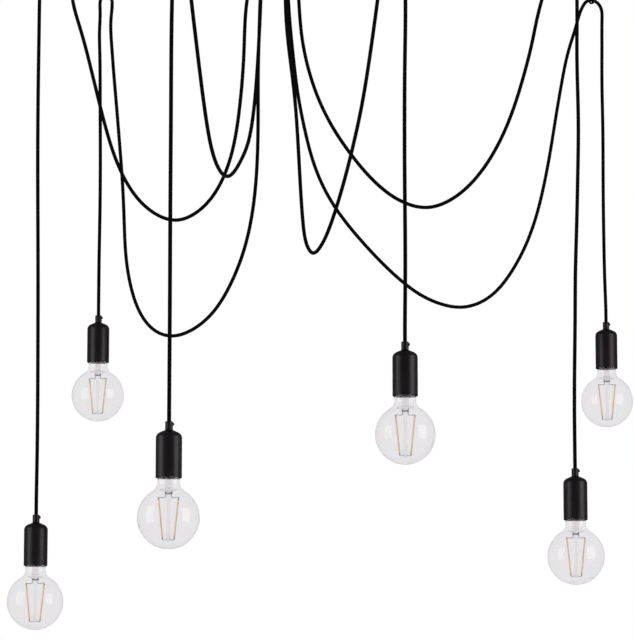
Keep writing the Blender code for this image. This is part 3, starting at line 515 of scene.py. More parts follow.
def cord_line(pendant, place):
    """The cord's middle line in the row frame: the spline through its route, stood up in its plane.

    A route point (out, height) is at outlet + out * direction, at that height.
    """
    hook, arch, span = place["hook_distance"], place["arch"], place["span"]
    bend = [polar(arch, angle) - (0.0, SADDLE_DROP + arch) for angle in BEND_ANGLES]
    route = [(0.0, COLLAR_MOUTH + CORD_ENTRY), (0.0, COLLAR_MOUTH), (0.0, COLLAR_MOUTH - CORD_STRAIGHT)]
    route += pendant["swag"]
    route += [(hook - side, height) for side, height in bend] + [(hook, -SADDLE_DROP)]
    route += [(hook + side, height) for side, height in reversed(bend)]
    route += [(span + past, height) for past, height in pendant["drop"]]
    route += [(span, place["top"] + CORD_STRAIGHT), (span, place["top"]), (span, place["top"] - CORD_ENTRY)]
    out, height = evenly(smooth_line(route), CORD_SPACING).T
    return np.column_stack((place["outlet"] + out[:, None] * place["out"], height))


def make_cord(pendant):
    """One cord as a single braided tube, with its (u, v) stretched along its real length."""
    number = pendant["number"]
    place = place_pendant(pendant)
    line = cord_line(pendant, place)
    length = line_distances(line)[-1]
    out = np.array((*place["out"], 0.0))
    across = np.cross(out, (0.0, 0.0, 1.0))
    grid = tube(line, CORD_DIAMETER / 2, CORD_SIDES, across)
    cord = make_piece(f"cord_{number}", (f"swag_cord_{number}", f"drop_cord_{number}"), [grid], textile,
                      uv_size=(1.0, length))
    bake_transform(cord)
    print("cord", number, "length", round(length, 3), "m, rings", len(line))


for pendant in PENDANTS:
    make_cord(pendant)

# %% [markdown]
# ## Black paint, and the cups
#
# Each cup is drawn from sheet metal: a tube with a gently sloped top and a rounded shoulder, open below.
# Its section is one closed outline, turned round the lamp's axis. The outline goes down the outside,
# round the rim in a half circle, and up the inside again, so that the sheet's thickness shows at the rim.
# The paint is satin. A fine noise in its roughness and its height keeps the long soft reflections from
# looking like plastic.

# %% Black paint
def black_paint():
    """Satin black paint with a fine orange peel and slightly uneven gloss."""
    material = new_finish("black_paint", (0.0036, 0.0006, 0.0030), 0.37, Specular_IOR_Level=0.39)
    vary(material, "Base Color", noise(material, 60), (0.0030, 0.0003, 0.0024), (0.0042, 0.0010, 0.0036))
    vary(material, "Roughness", noise(material, 220), 0.34, 0.40)
    bump(material, noise(material, 1400, detail=1.0), 0.00002)
    return material


paint = black_paint()
print("paint ready")

# %% Where each lamp hangs
LAMPS = tuple(range(1, 7))
GRIP_RADIUS = 0.0060
NIPPLE_RADIUS = 0.005
NIPPLE_HOLE = 0.0058
CUP_RADIUS = 0.0201
CUP_HEIGHT = 0.073
CUP_WALL = 0.001
CUP_SHOULDER = 0.0095
CUP_SLOPE = 25
CUP_SEAT_RIM = 0.0008
CUP_SEAT_ROUNDING = 0.0012
SHOULDER_STEPS = (12, 9)
RIM_STEPS = 6
TURN_SIDES = 64


def lamp_rim(number):
    """The point on the lamp's axis that is level with the rim of its cup, from the model's own cup."""
    low, high = np.array(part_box(f"cup_{number}"))
    return np.array((*(low + high)[:2] / 2, low[2]))


def make_for_lamps(name, node, grids, material, body, crisp=EDGE_ANGLE):
    """The same piece for each lamp, from grids whose origin is the middle of the cup's rim.

    The names of the piece, its node and its body each get the lamp's number.
    """
    for number in LAMPS:
        placed = [grid + lamp_rim(number) for grid in grids]
        make_piece(f"{name}_{number}", (f"{node}_{number}",), placed, material, f"{body}_{number}",
                   crisp=crisp)


for number in LAMPS:
    print("lamp", number, "rim at", lamp_rim(number).round(4))

# %% Cups
def seat_corner(inset):
    """Where the flat seat under the grip meets the sloped top, for a skin set in by inset."""
    return (GRIP_RADIUS + CUP_SEAT_RIM - inset * math.tan(math.radians(CUP_SLOPE / 2)), CUP_HEIGHT - inset)


def cup_shoulder():
    """The centre of the shoulder's circle, which touches the slope and the straight side.

    It lies (c + S sin b - seat) tan b + S cos b below the seat, for a centre radius c, a shoulder S and a
    slope b.
    """
    slope = math.radians(CUP_SLOPE)
    centre = CUP_RADIUS - CUP_SHOULDER
    seat, height = seat_corner(0.0)
    fall = (centre + CUP_SHOULDER * math.sin(slope) - seat) * math.tan(slope) + CUP_SHOULDER * math.cos(slope)
    return (centre, height - fall)


def cup_outline():
    """The sheet's section, as radius and height above the rim: a closed line from the hole and back to it."""
    outside = arc(cup_shoulder(), CUP_SHOULDER, 90 - CUP_SLOPE, 0, SHOULDER_STEPS[0])
    rim = arc((CUP_RADIUS - CUP_WALL / 2, CUP_WALL / 2), CUP_WALL / 2, 0, -180, RIM_STEPS)
    inside = arc(cup_shoulder(), CUP_SHOULDER - CUP_WALL, 0, 90 - CUP_SLOPE, SHOULDER_STEPS[1])
    top = rounded([(NIPPLE_HOLE, CUP_HEIGHT), seat_corner(0.0), outside[0]], CUP_SEAT_ROUNDING)
    hole = [seat_corner(CUP_WALL), (NIPPLE_HOLE, CUP_HEIGHT - CUP_WALL), (NIPPLE_HOLE, CUP_HEIGHT)]
    return np.concatenate((top, outside[1:], rim, inside, hole))


cup = turned(cup_outline(), TURN_SIDES)
make_for_lamps("lampholder_cup", "cup", [cup], paint, "pendant")
print("cups:", len(LAMPS), "each", CUP_RADIUS * 2000, "mm wide")

# %% [markdown]
# ## Cord grips
#
# A short sleeve on the cup's top holds the cord with a small set screw in its side. Its threaded nipple
# goes down through the cup's hole. The sleeve is one closed outline, turned. The screw is a second turned
# surface laid on its side, and its key hole is a hexagon: the radius of a hexagon at angle a is its inner
# radius divided by cos(a'), where a' is the angle from the middle of the nearest side.

# %% Cord grips
GRIP_HEIGHT = 0.0135
GRIP_BORE = 0.0035
GRIP_SEAT_GAP = 0.0003
GRIP_ROUNDING = 0.0008
GRIP_SEAM_DEPTH = 0.002
GRIP_SIDES = 40
NIPPLE_LENGTH = 0.012
NIPPLE_THREAD = 0.0003
NIPPLE_PITCH = 0.00075
NIPPLE_RINGS = 60
THREAD_START = 0.0012
THREAD_STOP = 0.0004
SET_SCREW_RADIUS = 0.0021
SET_SCREW_START = 0.0045
SET_SCREW_END = 0.0078
SET_SCREW_DEPTH = 0.0042
SET_SCREW_ROUNDING = 0.0004
SET_SCREW_SIDES = 36
KEY_RADIUS = 0.001
KEY_DEPTH = 0.0012


def grip_outline():
    """The sleeve and nipple, as heights above the cup's top: a closed line, with waves for the thread."""
    seat = GRIP_SEAT_GAP
    bottom = seat - NIPPLE_LENGTH
    seam = (GRIP_BORE, GRIP_HEIGHT - GRIP_SEAM_DEPTH)
    thread_z = np.linspace(seat - THREAD_START, bottom + THREAD_STOP, NIPPLE_RINGS)
    wave = 0.5 - 0.5 * np.cos(math.tau * (thread_z - thread_z[0]) / NIPPLE_PITCH)
    thread = np.stack((NIPPLE_RADIUS - NIPPLE_THREAD * wave, thread_z), axis=-1)
    sleeve = rounded([seam, (GRIP_BORE, GRIP_HEIGHT), (GRIP_RADIUS, GRIP_HEIGHT), (GRIP_RADIUS, seat),
                      (NIPPLE_RADIUS, seat), thread[0]], GRIP_ROUNDING)
    closing = [(NIPPLE_RADIUS - NIPPLE_THREAD, bottom), (GRIP_BORE, bottom), seam]
    return np.concatenate((sleeve, thread[1:], closing))


def set_screw_surface():
    """The set screw along +X, with its rounded end and the hexagonal key hole in it."""
    outline = rounded([(0.0, SET_SCREW_START), (SET_SCREW_RADIUS, SET_SCREW_START),
                       (SET_SCREW_RADIUS, SET_SCREW_END), (KEY_RADIUS, SET_SCREW_END)],
                      SET_SCREW_ROUNDING, steps=3)
    key_floor = SET_SCREW_END - KEY_DEPTH
    outline = np.concatenate((outline, [(KEY_RADIUS, key_floor), (0.0, key_floor)]))
    side = np.mod(round_angles(SET_SCREW_SIDES), math.pi / 3) - math.pi / 6
    ripple = np.zeros((len(outline), SET_SCREW_SIDES))
    ripple[-3:-1] = KEY_RADIUS * (math.cos(math.pi / 6) / np.cos(side) - 1)
    return lying(turned(outline, SET_SCREW_SIDES, ripple=ripple))


sleeve = turned(grip_outline(), GRIP_SIDES, (0.0, 0.0, CUP_HEIGHT))
screw = set_screw_surface() + (0.0, 0.0, CUP_HEIGHT + GRIP_HEIGHT - SET_SCREW_DEPTH)
make_for_lamps("grip", "cord_grip", [sleeve, screw], paint, "pendant",
               crisp=FINE_EDGE_ANGLE)
print("grips:", len(LAMPS))

# %% [markdown]
# ## Sockets
#
# Inside each cup sits a dark thermoset body with a deep bore that takes the bulb's cap. Little of it
# shows, but the ring round the bulb's neck does when the lamp is seen from below. Pressed thermoset is
# matte with faint mottling, which a coarse and a fine noise together give.

# %% Socket bodies
SOCKET_RADIUS = 0.018
SOCKET_TOP_EDGE = 0.013
SOCKET_MOUTH = 0.007
SOCKET_BORE = 0.0144
SOCKET_FLOOR = 0.0323
SOCKET_GAP = 0.0003
SOCKET_NIPPLE_GAP = 0.0008
SOCKET_ROUNDING = 0.0008


def thermoset():
    """Near-black pressed thermoset, matte, with faint mottling."""
    material = new_finish("thermoset", (0.012, 0.011, 0.012), 0.6)
    mottling = noise(material, 350, detail=5.0)
    vary(material, "Base Color", mottling, (0.008, 0.0075, 0.008), (0.02, 0.018, 0.02))
    vary(material, "Roughness", noise(material, 900), 0.5, 0.7)
    bump(material, noise(material, 2600), 0.00003)
    return material


def socket_outline():
    """From the bore's floor down and out at the mouth, up the outside, and in over the bevelled top."""
    nipple_end = CUP_HEIGHT + GRIP_SEAT_GAP - NIPPLE_LENGTH - SOCKET_NIPPLE_GAP
    seat, top = seat_corner(CUP_WALL + SOCKET_GAP)
    fall = (SOCKET_TOP_EDGE - seat) * math.tan(math.radians(CUP_SLOPE))
    corners = [(0.0, SOCKET_FLOOR), (SOCKET_BORE, SOCKET_FLOOR), (SOCKET_BORE, SOCKET_MOUTH),
               (SOCKET_RADIUS, SOCKET_MOUTH), (SOCKET_RADIUS, cup_shoulder()[1]),
               (SOCKET_TOP_EDGE, top - fall), (seat, top), (NIPPLE_HOLE, top), (NIPPLE_HOLE, nipple_end),
               (0.0, nipple_end)]
    return rounded(corners, SOCKET_ROUNDING, steps=3)


socket = turned(socket_outline(), TURN_SIDES)
make_for_lamps("socket_body", "socket", [socket], thermoset(), "pendant")
print("sockets:", len(LAMPS))

# %% [markdown]
# ## Bulb caps
#
# The cap's thread is the common 27 mm one, rolled from thin metal. It is a helix, so no turned outline
# alone can make it: the radius must depend on both height z and angle a. Here it is the root and half
# the depth times 1 + cos(2 pi z / pitch - a), faded to nothing over the thread's first and last turn.

# %% Caps
CAP_RADIUS = 0.0131
CAP_ROOT = 0.0124
CAP_LIP = 0.005
CAP_TOP = 0.032
CAP_PITCH = 0.00363
CAP_THREAD = (0.0151, 0.026)
CAP_CONTACT = (0.0048, 0.0305)
CAP_HOLLOW = (0.0117, 0.024)
CAP_ROUNDING = 0.0005
CAP_RINGS = 43
CAP_SIDES = 64


def cap_metal():
    """Rolled aluminium with fine scratches round it and dull patches from handling."""
    material = new_finish("cap_metal", (0.72, 0.72, 0.73), 0.32, metallic=1.0)
    vary(material, "Roughness", noise(material, 120, detail=5.0), 0.24, 0.42)
    bump(material, noise(material, 900, stretch=(0.1, 0.1, 6.0)), 0.00002)
    return material


def cap_surface():
    """The cap from its end contact down over the insulating cone and the thread, and back up its hollow."""
    low, high = CAP_THREAD
    hollow, ceiling = CAP_HOLLOW
    contact = [(0.0, CAP_TOP), (CAP_CONTACT[0], CAP_TOP), CAP_CONTACT]
    head = rounded([*contact, (CAP_ROOT, high)], CAP_ROUNDING, steps=2)
    thread_z = np.linspace(high, low, CAP_RINGS + 1)[1:]
    thread = np.stack((np.full(CAP_RINGS, CAP_ROOT), thread_z), axis=-1)
    tail = [(CAP_ROOT, CAP_LIP), (hollow, CAP_LIP), (hollow, ceiling), (0.0, ceiling)]
    outline = np.concatenate((head, thread, tail))
    angle = round_angles(CAP_SIDES)[None, :]
    height = outline[:, 1:]
    fade = np.clip((height - low) / CAP_PITCH, 0.0, 1.0) * np.clip((high - height) / CAP_PITCH, 0.0, 1.0)
    wave = 0.5 + 0.5 * np.cos(math.tau * height / CAP_PITCH - angle)
    ripple = (CAP_RADIUS - CAP_ROOT) * wave * np.sqrt(fade)
    ripple[:len(head)] = 0.0
    ripple[-len(tail):] = 0.0
    return turned(outline, CAP_SIDES, ripple=ripple)


make_for_lamps("screw_cap", "bulb_cap", [cap_surface()], cap_metal(), "bulb")
print("caps:", len(LAMPS), "thread pitch", CAP_PITCH * 1000, "mm")

# %% [markdown]
# ## Globes of clear glass
#
# The glass is one thin blown wall. Its outline starts as a narrow stub cemented into the cap, widens to
# the neck, swells in a curve that bends outwards, and runs on into the sphere. That curve is a circle
# which touches the neck's straight side and the sphere: with sphere radius R, neck radius n and a height
# h between them, its radius is (R^2 - n^2 - h^2) / 2(n - R). The inner skin is the same outline, set in
# by the wall. Both skins matter, because glass in a render only bends light rightly when it has a real
# thickness.

# %% Globe outline
BULB_RADIUS = 0.0475
BULB_DEPTH = 0.1086
NECK_RADIUS = 0.0174
NECK_DEPTH = 0.008
STUB_RADIUS = 0.011
STUB_TOP = 0.021
NECK_TOP = 0.0002
GLASS_WALL = 0.0006
GLASS_LIP_GAP = 0.0003
STUB_ROUNDING = 0.003
SWELL_STEPS = 12
GLOBE_STEPS = 44
BULB_SIDES = 96


def globe_outline(inset):
    """Radius and height from the neck down to the bottom, for a skin set in by inset."""
    radius, neck = BULB_RADIUS - inset, NECK_RADIUS - inset
    middle = BULB_RADIUS - BULB_DEPTH
    rise = -NECK_DEPTH - middle
    fillet = (radius ** 2 - neck ** 2 - rise ** 2) / (2 * (neck - radius))
    touch = math.degrees(math.atan2(rise, neck + fillet))
    swell = arc((neck + fillet, -NECK_DEPTH), fillet, 180, 180 + touch, SWELL_STEPS)
    globe = arc((0.0, middle), radius, touch, -90, GLOBE_STEPS)
    globe[-1, 0] = 0.0
    return np.concatenate((swell, globe[1:]))


def glass_outline():
    """The whole wall: up the inside from the bottom, over the stub's end, and down the outside again."""
    lip = CAP_LIP - GLASS_LIP_GAP
    skins = []
    for inset in (GLASS_WALL, 0.0):
        stub = [(STUB_RADIUS - inset, STUB_TOP), (STUB_RADIUS - inset, lip - inset),
                (NECK_RADIUS - inset, NECK_TOP - inset), (NECK_RADIUS - inset, -NECK_DEPTH)]
        stub = rounded(stub, STUB_ROUNDING, steps=5)
        skins.append(np.concatenate((stub[:-1], globe_outline(inset))))
    return np.concatenate((skins[0][::-1], skins[1]))


print("globe", BULB_RADIUS * 2000, "mm wide,", len(glass_outline()), "rings")

# %% Glass
GLASS_INDEX = 1.45


def clear_glass(name, colour):
    """Clear glass with a trace of unevenness, as blown glass has."""
    material = new_finish(name, colour, 0.0, Transmission_Weight=1.0, IOR=GLASS_INDEX)
    bump(material, noise(material, 45, detail=1.0), 0.0002, strength=0.3)
    return material


globe = turned(glass_outline(), BULB_SIDES)
globe_glass = clear_glass("globe_glass", (0.896, 0.884, 0.896))
make_for_lamps("glass_globe", "bulb_glass", [globe], globe_glass, "bulb")
print("globes:", len(LAMPS))

# %% [markdown]
# ## Stems, wires and filaments
#
# The bulb is a modern one in an old style. A glass stem comes down from the cap. It flares at its foot,
# is flattened where its wires are sealed in, and runs on as a thin rod. Two long filaments hang in a V
# beside the rod: each is a narrow strip under a yellowish coating. Wires hold them at the top and link
# them to the rod at the bottom. The stem is a turned surface whose depth is then squeezed over the seal.

# %% Glass stem
STEM_FOOT = (0.0101, 0.019)
STEM_FOOT_BORE = 0.0090
STEM_RADIUS = 0.0055
STEM_FLARE_HEIGHT = 0.008
STEM_HOLLOW = (0.0044, -0.0165)
HOLLOW_FLARE_HEIGHT = 0.007
HOLLOW_ROUNDING = 0.004
STEM_ROUNDING = 0.0016
STEM_STEPS = 6
STEM_SIDES = 40
SEAL_TOP = -0.0196
SEAL_RADIUS = 0.0056
SEAL_FLAT = (-0.0232, -0.0290)
ROD_TOP = -0.0325
ROD_RADIUS = 0.0025
ROD_MIDDLE = -0.0600
ROD_END = -0.0968
SEAL_SHARE = 0.42
SEAL_FADE = 0.001


def stem_surface():
    """An outline turned, with y times s(z): s falls smoothly from 1 to a low at the seal and rises again."""
    inner = rounded([(0.0, STEM_HOLLOW[1]), STEM_HOLLOW, (STEM_HOLLOW[0], HOLLOW_FLARE_HEIGHT),
                     (STEM_FOOT_BORE, STEM_FOOT[1])], HOLLOW_ROUNDING, STEM_STEPS)
    outer = rounded([STEM_FOOT, (STEM_RADIUS, STEM_FLARE_HEIGHT), (STEM_RADIUS, SEAL_TOP),
                     (SEAL_RADIUS, SEAL_FLAT[0]), (SEAL_RADIUS, SEAL_FLAT[1]), (ROD_RADIUS, ROD_TOP),
                     (ROD_RADIUS, ROD_MIDDLE), (ROD_RADIUS, ROD_END), (0.0, ROD_END)],
                    STEM_ROUNDING, STEM_STEPS)
    outline = np.concatenate((inner, outer))
    surface = turned(outline, STEM_SIDES)
    height = outline[:, 1]
    squeeze = np.interp(height, (ROD_TOP - SEAL_FADE, SEAL_FLAT[1], SEAL_FLAT[0], SEAL_TOP),
                        (1.0, SEAL_SHARE, SEAL_SHARE, 1.0))
    surface[..., 1] *= (squeeze * squeeze * (3 - 2 * squeeze))[:, None]
    return surface


stem_glass = clear_glass("stem_glass", (0.94, 0.925, 0.93))
make_for_lamps("glass_stem", "filament_mount", [stem_surface()], stem_glass, "bulb",
               crisp=SOFT_EDGE_ANGLE)
print("stems:", len(LAMPS))

# %% Wires and filaments
FILAMENT_TOP = np.array((0.0152, -0.0300))
FILAMENT_BOTTOM = np.array((0.0088, -0.0938))
FILAMENT_POINTS = 24
LEAD_ROUTE = ((0.0038, -0.0262), (0.0052, -0.0296), (0.0090, -0.0303), (0.0137, -0.0298))
LINK_ROUTE = ((0.0082, -0.0948), (0.0050, -0.0945), (0.0016, -0.0941))
WIRE_RADIUS = 0.0005
STRAND_SIDES = 10
TAB_LENGTH = 0.003
TAB_RADIUS = 0.0011
TAB_POINTS = 4
CORE_RADIUS = 0.0006
CORE_INSET = 0.001
COAT_RADIUS = 0.0014
COAT_INSET = 0.0025
BAND_RADII = (0.0052, 0.0059)
BAND_HEIGHTS = (-0.0232, -0.0250)
BAND_ROUNDING = 0.0002
BAND_SHARE = 0.5


def dull_metal():
    """Oxidised nickel wire: dark, with paler worn places."""
    material = new_finish("dull_metal", (0.32, 0.30, 0.30), 0.4, metallic=1.0)
    vary(material, "Base Color", noise(material, 700), (0.22, 0.21, 0.21), (0.42, 0.40, 0.40))
    vary(material, "Roughness", noise(material, 1500), 0.3, 0.55)
    return material


def filament_core():
    """The strip inside the coating, tan, with the row of its tiny chips as a faint ripple along it."""
    material = new_finish("filament_core", (0.86, 0.59, 0.38), 0.5)
    chips = noise(material, 1600, stretch=(0.4, 0.4, 1.0))
    vary(material, "Base Color", chips, (0.78, 0.49, 0.29), (0.94, 0.68, 0.46))
    bump(material, noise(material, 1600), 0.0002)
    return material


def filament_coat():
    """Yellowish silicone coating, half clear, with a painted glow: a little emission, though the bulb is
    unlit, so it is never dark.
    """
    # Emission Color and Emission Strength paint a faint glow on the coat; the bulbs are not lit.
    material = new_finish("filament_coat", (0.98, 0.80, 0.50), 0.45, Alpha=0.5,
                          Emission_Color=(1.0, 0.70, 0.42, 1.0), Emission_Strength=0.12)
    vary(material, "Base Color", noise(material, 400), (0.97, 0.76, 0.43), (0.99, 0.84, 0.58))
    vary(material, "Roughness", noise(material, 900), 0.35, 0.55)
    return material


def strand(line, radius):
    """A tube along points (x, z) of a lamp's upright middle plane, and its twin on the other side."""
    line = np.insert(line, 1, 0.0, axis=1)
    return [tube(line * (side, 1.0, 1.0), radius, STRAND_SIDES, (0.0, 1.0, 0.0)) for side in (1.0, -1.0)]


filament_length = np.linalg.norm(FILAMENT_BOTTOM - FILAMENT_TOP)
along = (FILAMENT_BOTTOM - FILAMENT_TOP) / filament_length
lead = smooth_line([*LEAD_ROUTE, FILAMENT_TOP])
link = smooth_line([FILAMENT_BOTTOM, *LINK_ROUTE])
tabs = [np.linspace(FILAMENT_TOP, FILAMENT_TOP + along * TAB_LENGTH, TAB_POINTS),
        np.linspace(FILAMENT_BOTTOM - along * TAB_LENGTH, FILAMENT_BOTTOM, TAB_POINTS)]
core, coat = (np.linspace(FILAMENT_TOP + along * inset, FILAMENT_BOTTOM - along * inset, FILAMENT_POINTS)
              for inset in (CORE_INSET, COAT_INSET))
narrow, wide = BAND_RADII
top, bottom = BAND_HEIGHTS
band = rounded([(narrow, top), (wide, top), (wide, bottom), (narrow, bottom), (narrow, top)],
               BAND_ROUNDING, steps=2)
metalwork = [turned(band, STEM_SIDES) * (1.0, BAND_SHARE, 1.0)]
for line in (lead, link):
    metalwork += strand(line, WIRE_RADIUS)
for line in tabs:
    metalwork += strand(line, TAB_RADIUS)
for name, grids, finish in (("mount_wires", metalwork, dull_metal()),
                            ("filament_core", strand(core, CORE_RADIUS), filament_core()),
                            ("filament_coat", strand(coat, COAT_RADIUS), filament_coat())):
    make_for_lamps(name, "filament_mount", grids, finish, "bulb")
print("filaments:", 2 * len(LAMPS), "each", round(1000 * filament_length), "mm long")

# %% [markdown]
# ## Ceiling hooks
#
# Each cord turns over a hook: a small round plate screwed to the ceiling, and a rod bent into an open
# ring below it. The rod is a tube along a smooth line, with its end rounded off: over the last stretch
# its radius is sqrt(r^2 - (r - d)^2) at distance d from the end. The plate carries a small fillet round
# the rod, as a weld does.

# %% Hooks
HOOK_PLATE_RADIUS = 0.015
HOOK_PLATE_THICKNESS = 0.003
HOOK_ROD_RADIUS = 0.002
HOOK_RING_RADIUS = 0.011
HOOK_SEAT_GAP = 0.0004
HOOK_MOUTH_ANGLE = 110
HOOK_NECK = 0.003
HOOK_SPACING = 0.0005
HOOK_SIDES = 16
HOOK_PLATE_SIDES = 48
HOOK_PLATE_ROUNDING = 0.0014
HOOK_PLATE_OUTLINE = ((0.0145, 0.0), (HOOK_PLATE_RADIUS, -0.0002), (HOOK_PLATE_RADIUS, -0.0015),
                      (0.0132, -HOOK_PLATE_THICKNESS), (0.0042, -HOOK_PLATE_THICKNESS), (0.0022, -0.0035),
                      (0.0019, -0.0052))


def hook_line():
    """The rod's middle line as (side, height): down from the plate, then round the ring to its open mouth."""
    centre = -SADDLE_DROP - CORD_DIAMETER / 2 - HOOK_SEAT_GAP - HOOK_ROD_RADIUS + HOOK_RING_RADIUS
    last = 90 + HOOK_MOUTH_ANGLE / 2 - 360
    route = [(0.0, -HOOK_PLATE_THICKNESS / 2), (0.0, -HOOK_PLATE_THICKNESS - HOOK_NECK)]
    route += [polar(HOOK_RING_RADIUS, angle) + (0.0, centre) for angle in (45, 0, -45, -90, -135, -180, last)]
    return evenly(smooth_line(route), HOOK_SPACING)


def hook_grids(pendant):
    """Plate and rod for one hook, with the ring across the cord's plane."""
    place = place_pendant(pendant)
    foot = np.array((*place["hook"], 0.0))
    out = np.array((*place["out"], 0.0))
    side = np.cross((0.0, 0.0, 1.0), out)
    line = hook_line()
    distance = line_distances(line)
    left = distance[-1] - distance
    radius = np.sqrt(np.maximum(HOOK_ROD_RADIUS ** 2 - np.maximum(HOOK_ROD_RADIUS - left, 0.0) ** 2, 0.0))
    points = foot + line[:, :1] * side + line[:, 1:] * (0.0, 0.0, 1.0)
    plate = np.concatenate(([(0.0, 0.0)], rounded(HOOK_PLATE_OUTLINE, HOOK_PLATE_ROUNDING),
                            [(0.0, HOOK_PLATE_OUTLINE[-1][1])]))
    return [turned(plate, HOOK_PLATE_SIDES, foot), tube(points[:-1], radius[:-1], HOOK_SIDES, out)]


for pendant in PENDANTS:
    number = pendant["number"]
    make_piece(f"hook_{number}", (f"ceiling_hook_{number}",), hook_grids(pendant), paint,
               "ceiling_set")
print("hooks:", len(PENDANTS))

# %% [markdown]
# ## The canopy
#
# The cover is a shallow round cup, and six collars stand out of its face. A turned surface can't have
# holes off its axis, so the face is made of six equal sectors with a hole in each. A sector is a grid
# too: its inner row is the hole's circle, its outer row runs round the sector's edge, and the rows
# between are straight mixes of the two. Neighbouring sectors have the same points along the line that
# they share, and the rim's turned surface has the same points as the sectors' arcs, so the merge closes
# everything.

# %% A round face with holes
CANOPY_RADIUS = 0.060
CANOPY_HEIGHT = 0.030
CANOPY_WALL = 0.0012
CANOPY_FILLET = 0.004
CANOPY_GAP = 0.0005
CANOPY_HOLE = 0.0064
HOLE_FLARE = 0.0003
SECTORS = 6
ARC_SPANS = 20
LINE_SPANS = 14
FACE_ROWS = 6


def face_rim(outline):
    """A turned surface set half a sector round, so that its points are also those of the sectors' arcs.

    A row vector times [[cos a, sin a, 0], [-sin a, cos a, 0], [0, 0, 1]] is turned by a about +Z.
    """
    half = math.pi / SECTORS
    turn = ((math.cos(half), math.sin(half), 0.0), (-math.sin(half), math.cos(half), 0.0), (0.0, 0.0, 1.0))
    return turned(outline, ARC_SPANS * SECTORS) @ np.array(turn)


def sector_edge(radius, bearing):
    """Points once round a sector's edge: out along one side, round the arc, and back along the other."""
    half = math.pi / SECTORS
    arc_angle = bearing + np.linspace(-half, half, ARC_SPANS + 1)
    arc_points = radius * np.stack((np.cos(arc_angle), np.sin(arc_angle)), axis=-1)
    share = np.linspace(0.0, 1.0, LINE_SPANS + 1)[:, None]
    out_line = share[:-1] * arc_points[0]
    back_line = (1 - share[1:-1]) * arc_points[-1]
    return np.concatenate((out_line, arc_points, back_line))


def pierced_face(radius, height, hole, rows=FACE_ROWS):
    """Sectors at one height, each a closed grid from its hole's circle to its edge.

    Column j joins edge point e_j to the point of the hole's circle that lies towards it.
    """
    grids = []
    for sector in range(SECTORS):
        bearing = math.tau * sector / SECTORS
        centre = OUTLET_CIRCLE_RADIUS * np.array((math.cos(bearing), math.sin(bearing)))
        edge = sector_edge(radius, bearing)
        way = edge - centre
        circle = centre + hole * way / np.linalg.norm(way, axis=1, keepdims=True)
        share = np.linspace(0.0, 1.0, rows + 1)[:, None, None]
        flat = circle * (1 - share) + edge * share
        grids.append(np.insert(flat, 2, height, axis=-1))
    return grids


def hole_walls(radius, hole, heights):
    """The six holes' walls between two faces, a little wider at each end."""
    low, high = heights
    walls = []
    narrow_faces = pierced_face(radius, low, hole, rows=1)
    wide_faces = pierced_face(radius, low, hole + HOLE_FLARE, rows=1)
    for narrow, wide in zip(narrow_faces, wide_faces):
        ring, mouth = narrow[0], wide[0]
        rows = [mouth, ring + (0.0, 0.0, HOLE_FLARE), ring + (0.0, 0.0, high - low - HOLE_FLARE),
                mouth + (0.0, 0.0, high - low)]
        walls.append(np.stack(rows))
    return walls


print("a face of", SECTORS, "sectors,", ARC_SPANS * SECTORS, "points round its rim")

# %% Canopy cover
FILLET_STEPS = (8, 6)
LIP_STEPS = 6


def cover_grids():
    """Both skins of the face with their holes, and the turned rim that joins them."""
    flat = CANOPY_RADIUS - CANOPY_FILLET
    outer, inner = -CANOPY_HEIGHT, CANOPY_WALL - CANOPY_HEIGHT
    centre = (flat, CANOPY_FILLET - CANOPY_HEIGHT)
    outside = arc(centre, CANOPY_FILLET, -90, 0, FILLET_STEPS[0])
    inside = arc(centre, CANOPY_FILLET - CANOPY_WALL, 0, -90, FILLET_STEPS[1])
    lip_centre = (CANOPY_RADIUS - CANOPY_WALL / 2, -CANOPY_GAP - CANOPY_WALL / 2)
    lip = arc(lip_centre, CANOPY_WALL / 2, 0, 180, LIP_STEPS)
    rim = face_rim(np.concatenate((outside, lip, inside)))
    hole = CANOPY_HOLE + HOLE_FLARE
    faces = pierced_face(flat, outer, hole) + pierced_face(flat, inner, hole)
    return [rim, *faces, *hole_walls(flat, CANOPY_HOLE, (outer, inner))]


cover = make_piece("cover", ("canopy_cover",), cover_grids(), paint, "ceiling_set",
                   crisp=FINE_EDGE_ANGLE)
print("cover:", len(cover.data.vertices), "points")

# %% Cord anchor plate with its collars
ANCHOR_RADIUS = 0.050
ANCHOR_FACE_RADIUS = 0.0494
ANCHOR_ROUNDING = 0.0005
ANCHOR_HOLE = 0.0048
ANCHOR_HEIGHTS = (-0.0285, -0.0255)
COLLAR_RADIUS = 0.0056
COLLAR_BORE = 0.0038
COLLAR_TOP = -0.0215
COLLAR_SEAM = -0.030
COLLAR_ROUNDING = 0.0007
COLLAR_SIDES = 40


def moulded_plastic():
    """Black moulded plastic with the fine grain of its mould."""
    material = new_finish("moulded_plastic", (0.013, 0.013, 0.014), 0.5)
    vary(material, "Base Color", noise(material, 90), (0.010, 0.010, 0.011), (0.017, 0.017, 0.018))
    vary(material, "Roughness", noise(material, 500), 0.42, 0.56)
    bump(material, noise(material, 3500, detail=1.0), 0.00003)
    return material


def collar_surface(place):
    """A bored collar: a closed outline, rounded at both ends, turned round the cord's axis."""
    corners = [(COLLAR_BORE, COLLAR_SEAM), (COLLAR_BORE, COLLAR_MOUTH), (COLLAR_RADIUS, COLLAR_MOUTH),
               (COLLAR_RADIUS, COLLAR_TOP), (COLLAR_BORE, COLLAR_TOP), (COLLAR_BORE, COLLAR_SEAM)]
    return turned(rounded(corners, COLLAR_ROUNDING), COLLAR_SIDES, place)


